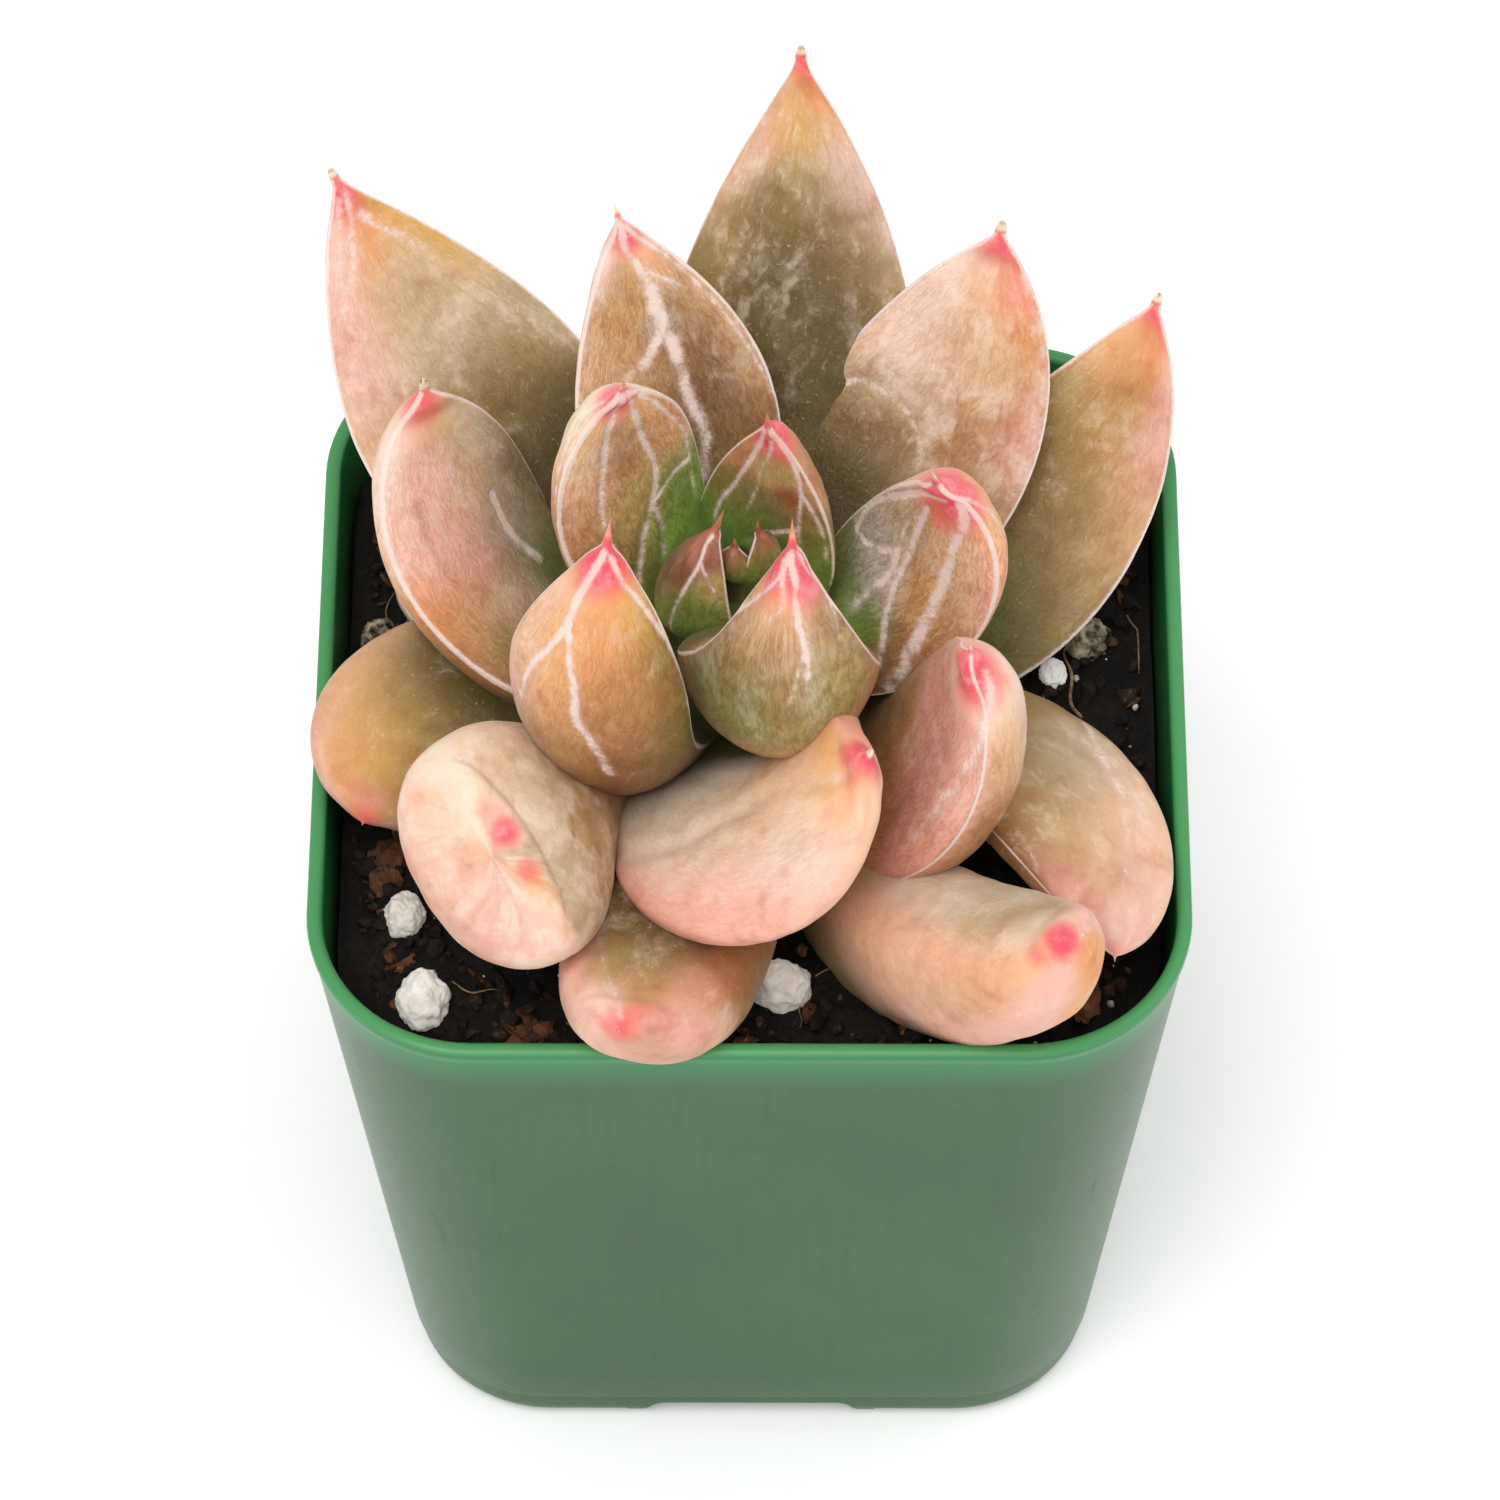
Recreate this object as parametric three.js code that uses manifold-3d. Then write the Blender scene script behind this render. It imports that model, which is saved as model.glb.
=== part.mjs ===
// A young rosette succulent in a square nursery pot, standing on the pot's four corner feet.
// Millimetres, +Z up. The origin is the middle of the pot's underside, and -Y is the front.
import * as THREE from "three";
import { mergeVertices } from "three/addons/utils/BufferGeometryUtils.js";
import Module from "manifold-3d";

// ---- Driving dimensions ----
const RIM_WIDTH = 54; // outside of the pot across its rim
const BASE_WIDTH = 45.8; // outside of the pot across its foot
const POT_HEIGHT = 52.5;
const RIM_CORNER = 10.2; // plan radius of the rim's corners
const BASE_CORNER = 9.1; // plan radius of the foot's corners
const WALL = 0.85; // moulded wall
const FLOOR = 0.95; // moulded floor
const FOOT_FILLET = 1.5; // how far the foot is rounded in
const FOOT_BAND = 3; // height of the plain band above the foot
const BAND_STEP = 0.15; // how far the wall stands proud of that band
const LIP_ROUND = 0.32; // rounding on each side of the rim
const CHANNEL_WIDTH = 12.4; // raised drainage cross under the floor
const CHANNEL_HEIGHT = 1.9;
const CHANNEL_ROUND = 1.2;
const DRAIN_RADIUS = 2.1; // the five drain holes
const DRAIN_SPREAD = 11.5; // distance of the outer four from the middle
const SOIL_DROP = 5; // soil surface below the rim
const SOIL_SWELL = 0.55; // height of its bumps
const STEM_X = -0.6; // where the stem stands
const STEM_Y = 1.2;
const STEM_FOOT = -8; // ends of the stem, measured from the rim
const STEM_TOP = 13;
const ROOT_COUNT = 5;
const ROOT_RADIUS = 0.75;
const ROOT_REACH = 13; // how far the roots spread
const ROOT_DEPTH = 22; // how far they go down from the stem's foot
const LEAF_SCALE = 1; // length, width and thickness of every leaf
const LEAF_TOP = 0.22; // share of a leaf's thickness above its edge line, and how its face curves
const LEAF_TOP_CURVE = 1.5;
const LEAF_KEEL = 0.78; // share below the edge line, and how the keel curves
const LEAF_KEEL_CURVE = 1.24;
const LEAF_SOCKET = 0.8; // where a leaf starts, as a share of the stem's radius there
const CHIP_THICKNESS = 0.55; // a bark chip
const CHIP_RISE = 0.3; // middle of a chip above the soil
const GRAIN_RISE = 0.35; // middle of a grain above the soil, as a share of its size
const CLEARANCE = 0.3; // gap kept between neighbouring pieces

// ---- Working resolution ----
const RINGS = 10; // cross-sections along a leaf
const SIDES = 10; // corners of each cross-section
const CORNER_STEPS = 5; // facets in each plan corner of the pot
const CENTRE_STEPS = 16; // steps of a leaf's centre line between two cross-sections
const ROOT_RINGS = 6; // cross-sections along a root, and the corners of each
const SOIL_ROWS = 6; // rings of the soil's top

// ---- Colours ----
const COLOURS = {
  pot: [0x4f7a52, 0.5],
  soil: [0x2a211c, 0.95],
  stem: [0x7d7a4a, 0.8],
  low: [0xc2a184, 0.6],
  outer: [0xc2a184, 0.6],
  middle: [0xc69c80, 0.6],
  inner: [0xb58e6c, 0.6],
  heart: [0x8b8a52, 0.6],
  perlite: [0xe4e2dc, 0.9],
  pellet: [0xd9cfae, 0.7],
  bark: [0x5a3b28, 0.95],
};

// Each leaf leaves the stem at a height measured from the rim and heads along its bearing, in degrees
// from +X towards +Y. It rises at one slope and curls to another, and swings and rolls as it goes.
// crest is where along its length it is widest and neck its width at the stem as a share of the width;
// taper and blunt shape the outline towards the tip; belly and root do the same for the thickness, and
// haste below 1 makes it turn early. The list runs from the heart outwards.
const LEAF = {
  swing: 0, roll: 0, neck: 0.42, crest: 0.5, taper: 2.3, blunt: 0.8, belly: 0.5, root: 0.55, haste: 1,
};
const LEAVES = [
  { name: "leaf_heart_front", bearing: 255, rise: 68, curl: 92, length: 3.6, width: 2.8, thick: 1.5,
    height: 11.4, crest: 0.4, neck: 0.6, taper: 1.8, blunt: 0.95 },
  { name: "leaf_heart_right", bearing: 330, rise: 72, curl: 95, length: 5, width: 3.4, thick: 1.9,
    height: 10.8, crest: 0.4, neck: 0.6, taper: 1.8, blunt: 0.95 },
  { name: "leaf_heart_left", bearing: 216, swing: 12, rise: 48, curl: 125, roll: -2, length: 9.8, width: 5.6,
    thick: 4, height: 7.2, crest: 0.4, neck: 0.6, taper: 1.8, blunt: 0.9 },
  { name: "leaf_heart_back", bearing: 45, swing: -4, rise: 74, curl: 97, roll: 15, length: 16.5, width: 9.6,
    thick: 3.4, height: 6.8, crest: 0.3, neck: 0.8, taper: 1.8, blunt: 1 },
  { name: "leaf_inner_front", bearing: 287, rise: 26, curl: 107, roll: -12, length: 21, width: 10.2,
    thick: 5.6, height: 7.6, crest: 0.39, neck: 0.7, taper: 1.8, blunt: 0.95 },
  { name: "leaf_inner_left", bearing: 171, swing: -24, rise: 46, curl: 101, roll: -19, length: 22,
    width: 11.7, thick: 4.4, height: 6.3, crest: 0.48, taper: 2.15, blunt: 0.9 },
  { name: "leaf_inner_right", bearing: 347, swing: 43, rise: 1, curl: 108, roll: 30, length: 21.3,
    width: 11.4, thick: 5.5, height: 5.6, crest: 0.47, taper: 2.2, blunt: 0.8 },
  { name: "leaf_inner_back", bearing: 111, swing: 8, rise: 47, curl: 56, roll: 1, length: 26.5, width: 13,
    thick: 5, height: 4, crest: 0.48, taper: 1.75, blunt: 0.95 },
  { name: "leaf_middle_front_left", bearing: 225, swing: 30, rise: 11, curl: 117, roll: 6, length: 31,
    width: 11.5, thick: 6.4, height: 0.5, crest: 0.58, taper: 1.95, blunt: 0.85, haste: 0.86 },
  { name: "leaf_middle_back_right", bearing: 40, swing: 27, rise: 16, curl: 56, roll: 17, length: 30.5,
    width: 14.5, thick: 5.6, height: 1, crest: 0.48, taper: 2.1, blunt: 0.85 },
  { name: "leaf_middle_left", bearing: 183, swing: -74, rise: 7, curl: 77, roll: 14, length: 29.5, width: 14,
    thick: 6.5, height: -1, crest: 0.52, taper: 2.25 },
  { name: "leaf_middle_front", bearing: 241, swing: 125, rise: 5, curl: 82, roll: 15, length: 31, width: 16.2,
    thick: 7.5, height: -3, crest: 0.52, neck: 0.3, taper: 2.5, blunt: 0.7, haste: 0.83 },
  { name: "leaf_middle_front_right", bearing: 302, swing: 48, rise: 2, curl: 98, roll: 23, length: 31.5,
    width: 14.3, thick: 7, height: -3, taper: 2.3, blunt: 0.7, haste: 0.85 },
  { name: "leaf_outer_back", bearing: 77, swing: 13, rise: 34, curl: 56, roll: 1, length: 38, width: 15.6,
    thick: 5, height: -1.2, crest: 0.52, taper: 1.65, blunt: 1 },
  { name: "leaf_outer_back_left", bearing: 141, swing: -10, rise: 16, curl: 50, roll: -13, length: 39.5,
    width: 16, thick: 5.5, height: -2, crest: 0.53, taper: 1.7, blunt: 1 },
  { name: "leaf_outer_back_right", bearing: 17, swing: 43, rise: 0, curl: 55, roll: 19, length: 35.5,
    width: 14, thick: 5, height: -2, crest: 0.43, taper: 1.9, blunt: 0.9 },
  { name: "leaf_outer_right", bearing: 354, swing: -86, rise: 12, curl: -4, roll: -16, length: 33.5,
    width: 12.5, thick: 5.5, height: -1.5, crest: 0.53, taper: 1.95, blunt: 0.75 },
  { name: "leaf_outer_left", bearing: 167, swing: 85, rise: 12, curl: -2, roll: -6, length: 27, width: 13.5,
    thick: 6.5, height: -2.3, crest: 0.66, taper: 2.4, blunt: 0.6 },
  { name: "leaf_outer_front_right", bearing: 292, swing: 38, rise: -6, curl: 60, roll: -8, length: 38,
    width: 9.4, thick: 9.6, height: -3, crest: 0.66, neck: 0.22, taper: 2.6, blunt: 0.55 },
  { name: "leaf_outer_front_left", bearing: 243, swing: -42, rise: -3, curl: 70, roll: -5, length: 30,
    width: 14, thick: 10.5, height: -2.4, crest: 0.68, neck: 0.25, taper: 2.6, blunt: 0.5, belly: 0.62,
    root: 0.35 },
  { name: "leaf_outer_front", bearing: 260, swing: -9, rise: 0, curl: 30, roll: -4, length: 30.5, width: 13.3,
    thick: 8.6, height: -2, crest: 0.58, neck: 0.45, taper: 2.5, blunt: 0.55 },
  { name: "leaf_low_back", bearing: 110, rise: 4, curl: 26, length: 25, width: 11.5, thick: 6, height: -3.2,
    taper: 2.2 },
  { name: "leaf_low_back_right", bearing: 54, swing: 8, rise: 4, curl: 28, length: 25, width: 11.5, thick: 6,
    height: -3, taper: 2.2 },
  { name: "leaf_low_left", bearing: 158, swing: 4, rise: 2, curl: 16, length: 21.5, width: 10.5, thick: 5.6,
    height: -3.2, taper: 2.4, blunt: 0.7 },
];

// Grains lying half sunk in the soil: where, how big, and how they are turned.
const PERLITE = [
  { name: "perlite_left", x: -21.3, y: -14, size: 1.45, turn: 20 },
  { name: "perlite_front_left", x: -20.3, y: -20.6, size: 1.8, turn: 75 },
  { name: "perlite_front", x: 1.9, y: -19.4, size: 1.9, turn: 140 },
  { name: "perlite_right", x: 21.3, y: 6.6, size: 1.5, turn: 210 },
  { name: "perlite_right_small", x: 19.2, y: 4.2, size: 0.9, turn: 250 },
  { name: "perlite_back_left", x: -23.4, y: 7.2, size: 1.25, turn: 300 },
  { name: "perlite_back", x: -14.5, y: 21, size: 1.5, turn: 45 },
  { name: "perlite_back_right", x: 18.5, y: 19, size: 1.3, turn: 100 },
];
const BARK = [
  { name: "bark_chip_left", x: -22.3, y: -9.6, size: 1.7, turn: 35, tilt: 25 },
  { name: "bark_chip_front", x: -13.5, y: -22.6, size: 1.5, turn: 160, tilt: 12 },
  { name: "bark_chip_front_right", x: 20.6, y: -20.4, size: 1.6, turn: 80, tilt: 20 },
  { name: "bark_chip_right", x: 23, y: 12.4, size: 1.4, turn: 240, tilt: 30 },
  { name: "bark_chip_back", x: 3, y: 22.4, size: 1.6, turn: 10, tilt: 18 },
];
// Slow-release pellets caught between the leaves, placed from the stem and the rim at the leaves' scale.
const PELLETS = [
  { name: "pellet_left", x: -20.6, y: 3.4, rise: -1, size: 0.75 },
  { name: "pellet_front_left", x: -9.6, y: -14.3, rise: 6.4, size: 0.7 },
];

const SOIL_LEVEL = POT_HEIGHT - SOIL_DROP;
const rad = THREE.MathUtils.degToRad;
const lerp = THREE.MathUtils.lerp;
const wasm = await Module();
wasm.setup();

// ---- Solids ----
function solidFrom(geometry) {
  const bare = new THREE.BufferGeometry();
  bare.setAttribute("position", geometry.getAttribute("position").clone());
  if (geometry.index) bare.setIndex(geometry.index.clone());
  const merged = mergeVertices(bare, 1e-4);
  return new wasm.Manifold(
    new wasm.Mesh({
      numProp: 3,
      vertProperties: merged.attributes.position.array,
      triVerts: new Uint32Array(merged.index.array),
    }),
  );
}

function geometryFrom(solid) {
  const mesh = solid.getMesh();
  const geometry = new THREE.BufferGeometry();
  geometry.setAttribute("position", new THREE.BufferAttribute(mesh.vertProperties, 3));
  geometry.setIndex(new THREE.BufferAttribute(mesh.triVerts, 1));
  return geometry;
}

// The biggest of the bodies that a cut leaves.
function mainBody(solid) {
  return solid.decompose().reduce((best, body) => (body.volume() > best.volume() ? body : best));
}

// A closed skin over rings of points, all of the same length, with flat or pointed ends.
function loft(rings) {
  const count = rings[0].length;
  const positions = [];
  const indices = [];
  for (const ring of rings) for (const point of ring) positions.push(point.x, point.y, point.z);
  for (let ring = 0; ring + 1 < rings.length; ring++)
    for (let side = 0; side < count; side++) {
      const a = ring * count + side;
      const b = ring * count + ((side + 1) % count);
      indices.push(a, b, b + count, a, b + count, a + count);
    }
  const last = rings.length - 1;
  for (const [ring, flip] of [[0, true], [last, false]]) {
    const middle = rings[ring]
      .reduce((sum, point) => sum.add(point), new THREE.Vector3())
      .divideScalar(count);
    const centre = positions.length / 3;
    positions.push(middle.x, middle.y, middle.z);
    for (let side = 0; side < count; side++) {
      const a = ring * count + side;
      const b = ring * count + ((side + 1) % count);
      indices.push(...(flip ? [b, a, centre] : [a, b, centre]));
    }
  }
  const geometry = new THREE.BufferGeometry();
  geometry.setAttribute("position", new THREE.Float32BufferAttribute(positions, 3));
  geometry.setIndex(indices);
  return geometry;
}

// ---- Pot ----
// The pot's outline at a height, moved outwards by offset.
function potRing(z, offset) {
  const share = z / POT_HEIGHT;
  const half = lerp(BASE_WIDTH, RIM_WIDTH, share) / 2 + offset;
  const corner = Math.max(lerp(BASE_CORNER, RIM_CORNER, share) + offset, 0.5);
  const ring = [];
  for (let quarter = 0; quarter < 4; quarter++)
    for (let step = 0; step <= CORNER_STEPS; step++) {
      const angle = (Math.PI / 2) * (quarter + step / CORNER_STEPS);
      const middle = (Math.PI / 2) * quarter + Math.PI / 4;
      const reach = (half - corner) * Math.SQRT2;
      ring.push(
        new THREE.Vector3(
          Math.cos(middle) * reach + Math.cos(angle) * corner,
          Math.sin(middle) * reach + Math.sin(angle) * corner,
          z,
        ),
      );
    }
  return ring;
}

// The drainage cross, widened by grow all round: two bars under the floor with rounded upper edges.
function drainageCross(grow) {
  const half = CHANNEL_WIDTH / 2 + grow;
  const top = CHANNEL_HEIGHT + grow;
  const round = CHANNEL_ROUND + grow;
  const section = new THREE.Shape();
  section.moveTo(-half - round, -1);
  section.lineTo(-half - round, 0);
  section.quadraticCurveTo(-half, 0, -half, Math.min(round, top / 2));
  section.absarc(-half + round, top - round, round, Math.PI, Math.PI / 2, true);
  section.absarc(half - round, top - round, round, Math.PI / 2, 0, true);
  section.quadraticCurveTo(half, 0, half + round, 0);
  section.lineTo(half + round, -1);
  section.closePath();
  const length = RIM_WIDTH * 1.2;
  const bars = [0, 90].map((turn) => {
    const bar = new THREE.ExtrudeGeometry(section, { depth: length, bevelEnabled: false, curveSegments: 4 });
    bar.translate(0, 0, -length / 2).rotateX(Math.PI / 2).rotateZ(rad(turn));
    return solidFrom(bar);
  });
  return bars[0].add(bars[1]);
}

function potCavity(gap) {
  const low = FLOOR + gap;
  const inside = -WALL - gap;
  const foot = FOOT_FILLET * 0.7;
  return solidFrom(
    loft([
      potRing(low, inside - foot),
      potRing(low + foot * 0.4, inside - foot * 0.3),
      potRing(low + foot, inside),
      potRing(POT_HEIGHT - LIP_ROUND, inside),
      potRing(POT_HEIGHT + 1, inside),
    ]),
  );
}

function potSolid() {
  const outside = solidFrom(
    loft([
      potRing(0, -FOOT_FILLET),
      potRing(FOOT_FILLET * 0.3, -FOOT_FILLET * 0.35),
      potRing(FOOT_FILLET, -BAND_STEP),
      potRing(FOOT_BAND, -BAND_STEP),
      potRing(FOOT_BAND + BAND_STEP, 0),
      potRing(POT_HEIGHT - LIP_ROUND, 0),
      potRing(POT_HEIGHT, -LIP_ROUND),
    ]),
  );
  const mouth = solidFrom(
    loft([potRing(POT_HEIGHT - LIP_ROUND, -WALL), potRing(POT_HEIGHT + LIP_ROUND, -WALL + 2 * LIP_ROUND)]),
  );
  let pot = outside.subtract(potCavity(0).subtract(drainageCross(FLOOR))).subtract(mouth);
  pot = pot.subtract(drainageCross(0));
  for (const [x, y] of [[0, 0], [1, 0], [0, 1], [-1, 0], [0, -1]]) {
    const hole = new THREE.CylinderGeometry(DRAIN_RADIUS, DRAIN_RADIUS, 4 * (CHANNEL_HEIGHT + FLOOR), 16);
    hole.rotateX(Math.PI / 2).translate(x * DRAIN_SPREAD, y * DRAIN_SPREAD, 0);
    pot = pot.subtract(solidFrom(hole));
  }
  return pot;
}

// What the leaves keep clear of: the upper wall and its lip with the clearance added.
function potKeepOut() {
  const low = POT_HEIGHT - 2 * SOIL_DROP;
  const outer = loft([potRing(low, CLEARANCE), potRing(POT_HEIGHT + CLEARANCE, CLEARANCE)]);
  const inner = loft([potRing(low - 1, -WALL - CLEARANCE), potRing(POT_HEIGHT + 1, -WALL - CLEARANCE)]);
  return solidFrom(outer).subtract(solidFrom(inner));
}

// ---- Stem and roots ----
function stemSolid(grow) {
  const profile = [
    [0, STEM_FOOT - 1.5 - grow],
    [1.6 + grow, STEM_FOOT - grow],
    [2.9 + grow, STEM_FOOT + 4],
    [2.6 + grow, 0],
    [2 + grow, 6],
    [1.2 + grow, STEM_TOP - 2],
    [0.5 + grow, STEM_TOP - 0.4 + grow],
    [0, STEM_TOP + grow],
  ].map(([radius, height]) => new THREE.Vector2(radius, height));
  const column = new THREE.LatheGeometry(profile, SIDES).rotateX(Math.PI / 2);
  let stem = solidFrom(column.translate(STEM_X, STEM_Y, POT_HEIGHT));
  for (let index = 0; index < ROOT_COUNT; index++) {
    const angle = rad(30 + (index * 360) / ROOT_COUNT);
    const out = new THREE.Vector3(Math.cos(angle), Math.sin(angle), 0);
    const crown = new THREE.Vector3(STEM_X, STEM_Y, POT_HEIGHT + STEM_FOOT + 0.6);
    const path = new THREE.CatmullRomCurve3([
      crown.clone().addScaledVector(out, 0.4),
      crown.clone().addScaledVector(out, ROOT_REACH * 0.45).add(new THREE.Vector3(0, 0, -ROOT_DEPTH * 0.22)),
      crown.clone().addScaledVector(out, ROOT_REACH * 0.8).add(new THREE.Vector3(0, 0, -ROOT_DEPTH * 0.6)),
      crown.clone().addScaledVector(out, ROOT_REACH).add(new THREE.Vector3(0, 0, -ROOT_DEPTH)),
    ]);
    const frames = path.computeFrenetFrames(ROOT_RINGS, false);
    const rings = [];
    for (let step = 0; step <= ROOT_RINGS; step++) {
      const share = step / ROOT_RINGS;
      const radius = ROOT_RADIUS * lerp(1, 0.35, share) + grow;
      const centre = path.getPointAt(share);
      if (step === ROOT_RINGS) centre.addScaledVector(frames.tangents[step], grow);
      const ring = [];
      for (let side = 0; side < ROOT_RINGS; side++) {
        const around = (side / ROOT_RINGS) * 2 * Math.PI;
        ring.push(
          centre
            .clone()
            .addScaledVector(frames.normals[step], Math.cos(around) * radius)
            .addScaledVector(frames.binormals[step], Math.sin(around) * radius),
        );
      }
      rings.push(ring);
    }
    stem = stem.add(solidFrom(loft(rings)));
  }
  return stem;
}

function stemRadius(height) {
  return THREE.MathUtils.mapLinear(THREE.MathUtils.clamp(height, -4, STEM_TOP), -4, STEM_TOP, 3, 0.6);
}

// ---- Leaves ----
function outlineShare(along, crest, start, taper, blunt) {
  if (along < crest) return start + (1 - start) * Math.sin((Math.PI / 2) * (along / crest)) ** 1.15;
  return Math.max(1 - ((along - crest) / (1 - crest)) ** taper, 0) ** blunt;
}

// A fleshy leaf: lens-shaped cross-sections, flatter on top, along a centre line that curls and swings.
function leafSolid(own, grow) {
  const leaf = { ...LEAF, ...own };
  const length = leaf.length * LEAF_SCALE;
  const bearing = rad(leaf.bearing);
  const reach = stemRadius(leaf.height) * LEAF_SOCKET;
  const centre = new THREE.Vector3(
    STEM_X + reach * Math.cos(bearing),
    STEM_Y + reach * Math.sin(bearing),
    POT_HEIGHT + leaf.height,
  );
  const rings = [];
  let walked = 0;
  for (let ring = 0; ring <= RINGS; ring++) {
    const even = ring / RINGS;
    const along = 0.3 * (1 - Math.cos(Math.PI * even)) + 0.4 * even;
    const frameAt = (share) => {
      const turned = share ** leaf.haste;
      const slope = rad(lerp(leaf.rise, leaf.curl, turned));
      const heading = bearing + rad(leaf.swing * turned);
      const forward = new THREE.Vector3(
        Math.cos(slope) * Math.cos(heading),
        Math.cos(slope) * Math.sin(heading),
        Math.sin(slope),
      );
      const up = new THREE.Vector3(
        -Math.sin(slope) * Math.cos(heading),
        -Math.sin(slope) * Math.sin(heading),
        Math.cos(slope),
      );
      return { forward, up };
    };
    for (let step = 0; step < CENTRE_STEPS && ring > 0; step++) {
      const share = walked + ((along - walked) * (step + 0.5)) / CENTRE_STEPS;
      centre.addScaledVector(frameAt(share).forward, ((along - walked) * length) / CENTRE_STEPS);
    }
    walked = along;
    const { forward, up } = frameAt(along);
    const side = new THREE.Vector3().crossVectors(forward, up);
    up.applyAxisAngle(forward, -rad(leaf.roll));
    side.applyAxisAngle(forward, -rad(leaf.roll));
    const half = outlineShare(along, leaf.crest, leaf.neck, leaf.taper, leaf.blunt);
    const deep = outlineShare(along, leaf.belly, leaf.root, 2, 0.6);
    const width = (half * leaf.width * LEAF_SCALE) / 2 + grow;
    const depth = deep * leaf.thick * LEAF_SCALE + 2 * grow;
    const middle = centre.clone();
    if (ring === 0) middle.addScaledVector(forward, -grow);
    if (ring === RINGS) middle.addScaledVector(forward, grow);
    const points = [];
    for (let corner = 0; corner < SIDES; corner++) {
      const around = (-corner / SIDES) * 2 * Math.PI;
      const lift = Math.sin(around);
      const high = lift > 0 ? LEAF_TOP * lift ** LEAF_TOP_CURVE : -LEAF_KEEL * (-lift) ** LEAF_KEEL_CURVE;
      points.push(
        middle
          .clone()
          .addScaledVector(side, Math.cos(around) * width)
          .addScaledVector(up, high * depth + (LEAF_KEEL - 0.5) * grow),
      );
    }
    rings.push(points);
  }
  return solidFrom(loft(rings));
}

// ---- Soil and what lies in it ----
function soilSwell(x, y) {
  const waves = Math.sin(x * 0.52 + 1.3) * Math.cos(y * 0.47 - 0.4) + 0.6 * Math.sin(x * 0.9 - y * 0.7);
  return (SOIL_SWELL * waves) / 1.6;
}

function soilSolid() {
  const gap = WALL + CLEARANCE;
  const rings = [potRing(FLOOR, -gap - FOOT_FILLET), potRing(FLOOR + FOOT_FILLET, -gap)];
  for (let row = 0; row < SOIL_ROWS; row++)
    rings.push(
      potRing(SOIL_LEVEL, -gap).map((point) => {
        const [x, y] = [point.x, point.y].map((value) => value * (1 - row / SOIL_ROWS));
        return new THREE.Vector3(x, y, SOIL_LEVEL + soilSwell(x, y));
      }),
    );
  return solidFrom(loft(rings)).intersect(potCavity(CLEARANCE)).subtract(drainageCross(FLOOR + CLEARANCE));
}

function grainSolid(grain, grow) {
  const lump = new THREE.IcosahedronGeometry(1, 1);
  const spots = lump.getAttribute("position");
  const spot = new THREE.Vector3();
  for (let index = 0; index < spots.count; index++) {
    spot.fromBufferAttribute(spots, index);
    const bump = 1 + 0.12 * Math.sin(4 * spot.x + grain.turn) + 0.1 * Math.sin(5 * spot.y - 3 * spot.z);
    spot.multiplyScalar(grain.size * bump + grow);
    spots.setXYZ(index, spot.x * 1.1, spot.y * 0.95, spot.z * 0.85);
  }
  lump.rotateZ(rad(grain.turn));
  const z = SOIL_LEVEL + soilSwell(grain.x, grain.y) + GRAIN_RISE * grain.size;
  return solidFrom(lump.translate(grain.x, grain.y, z));
}

function chipSolid(chip, grow) {
  const outline = new THREE.Shape(
    [[-1, -0.4], [-0.3, -0.62], [0.8, -0.45], [1.05, 0.2], [0.2, 0.6], [-0.9, 0.42]].map(([x, y]) => {
      const reach = Math.hypot(x, y);
      return new THREE.Vector2(x, y).multiplyScalar((chip.size * reach + grow) / reach);
    }),
  );
  const thickness = CHIP_THICKNESS + 2 * grow;
  const slab = new THREE.ExtrudeGeometry(outline, { depth: thickness, bevelEnabled: false });
  slab.translate(0, 0, -thickness / 2).rotateX(rad(chip.tilt)).rotateZ(rad(chip.turn));
  const z = SOIL_LEVEL + soilSwell(chip.x, chip.y) + CHIP_RISE;
  return solidFrom(slab.translate(chip.x, chip.y, z));
}

function pelletSolid(pellet, grow) {
  const ball = new THREE.IcosahedronGeometry(pellet.size + grow, 1);
  const spot = new THREE.Vector3(pellet.x, pellet.y, pellet.rise).multiplyScalar(LEAF_SCALE);
  return solidFrom(ball.translate(STEM_X + spot.x, STEM_Y + spot.y, POT_HEIGHT + spot.z));
}

// ---- Assembly ----
const group = new THREE.Group();

function place(name, solid, finish) {
  const [color, roughness] = COLOURS[finish];
  const material = new THREE.MeshStandardMaterial({ color, roughness, metalness: 0 });
  const mesh = new THREE.Mesh(geometryFrom(solid), material);
  mesh.name = name;
  group.add(mesh);
}

place("pot", potSolid(), "pot");
place("stem", stemSolid(0), "stem");

// Pellets and leaves keep their room: each later leaf, and then the soil, is cut back from it.
const stemRoom = stemSolid(CLEARANCE);
const wallRoom = potKeepOut();
const taken = PELLETS.map((pellet) => pelletSolid(pellet, CLEARANCE));
const cutBack = (solid, rooms) => rooms.reduce((rest, room) => rest.subtract(room), solid);
for (const pellet of PELLETS) place(pellet.name, pelletSolid(pellet, 0), "pellet");
for (const leaf of LEAVES) {
  const ring = leaf.name.split("_")[1];
  place(leaf.name, mainBody(cutBack(leafSolid(leaf, 0), [wallRoom, stemRoom, ...taken])), ring);
  taken.push(leafSolid(leaf, CLEARANCE));
}

let soil = cutBack(soilSolid(), [stemRoom, ...taken]);
for (const [list, shape, finish] of [[PERLITE, grainSolid, "perlite"], [BARK, chipSolid, "bark"]])
  for (const item of list) {
    place(item.name, mainBody(cutBack(shape(item, 0), taken)), finish);
    soil = soil.subtract(shape(item, CLEARANCE));
  }
place("soil", mainBody(soil), "soil");

export default group;
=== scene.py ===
"""A young rosette succulent in a square green nursery pot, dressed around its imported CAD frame.

Lengths are worked out in millimetres, as on the drawing, and turned into metres where a mesh is made.
"""

import logging
import math
from dataclasses import dataclass, field
from enum import Enum
from typing import Any

import bmesh
import bpy
import numpy as np
from mathutils import Euler, Matrix, Vector, noise


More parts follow.
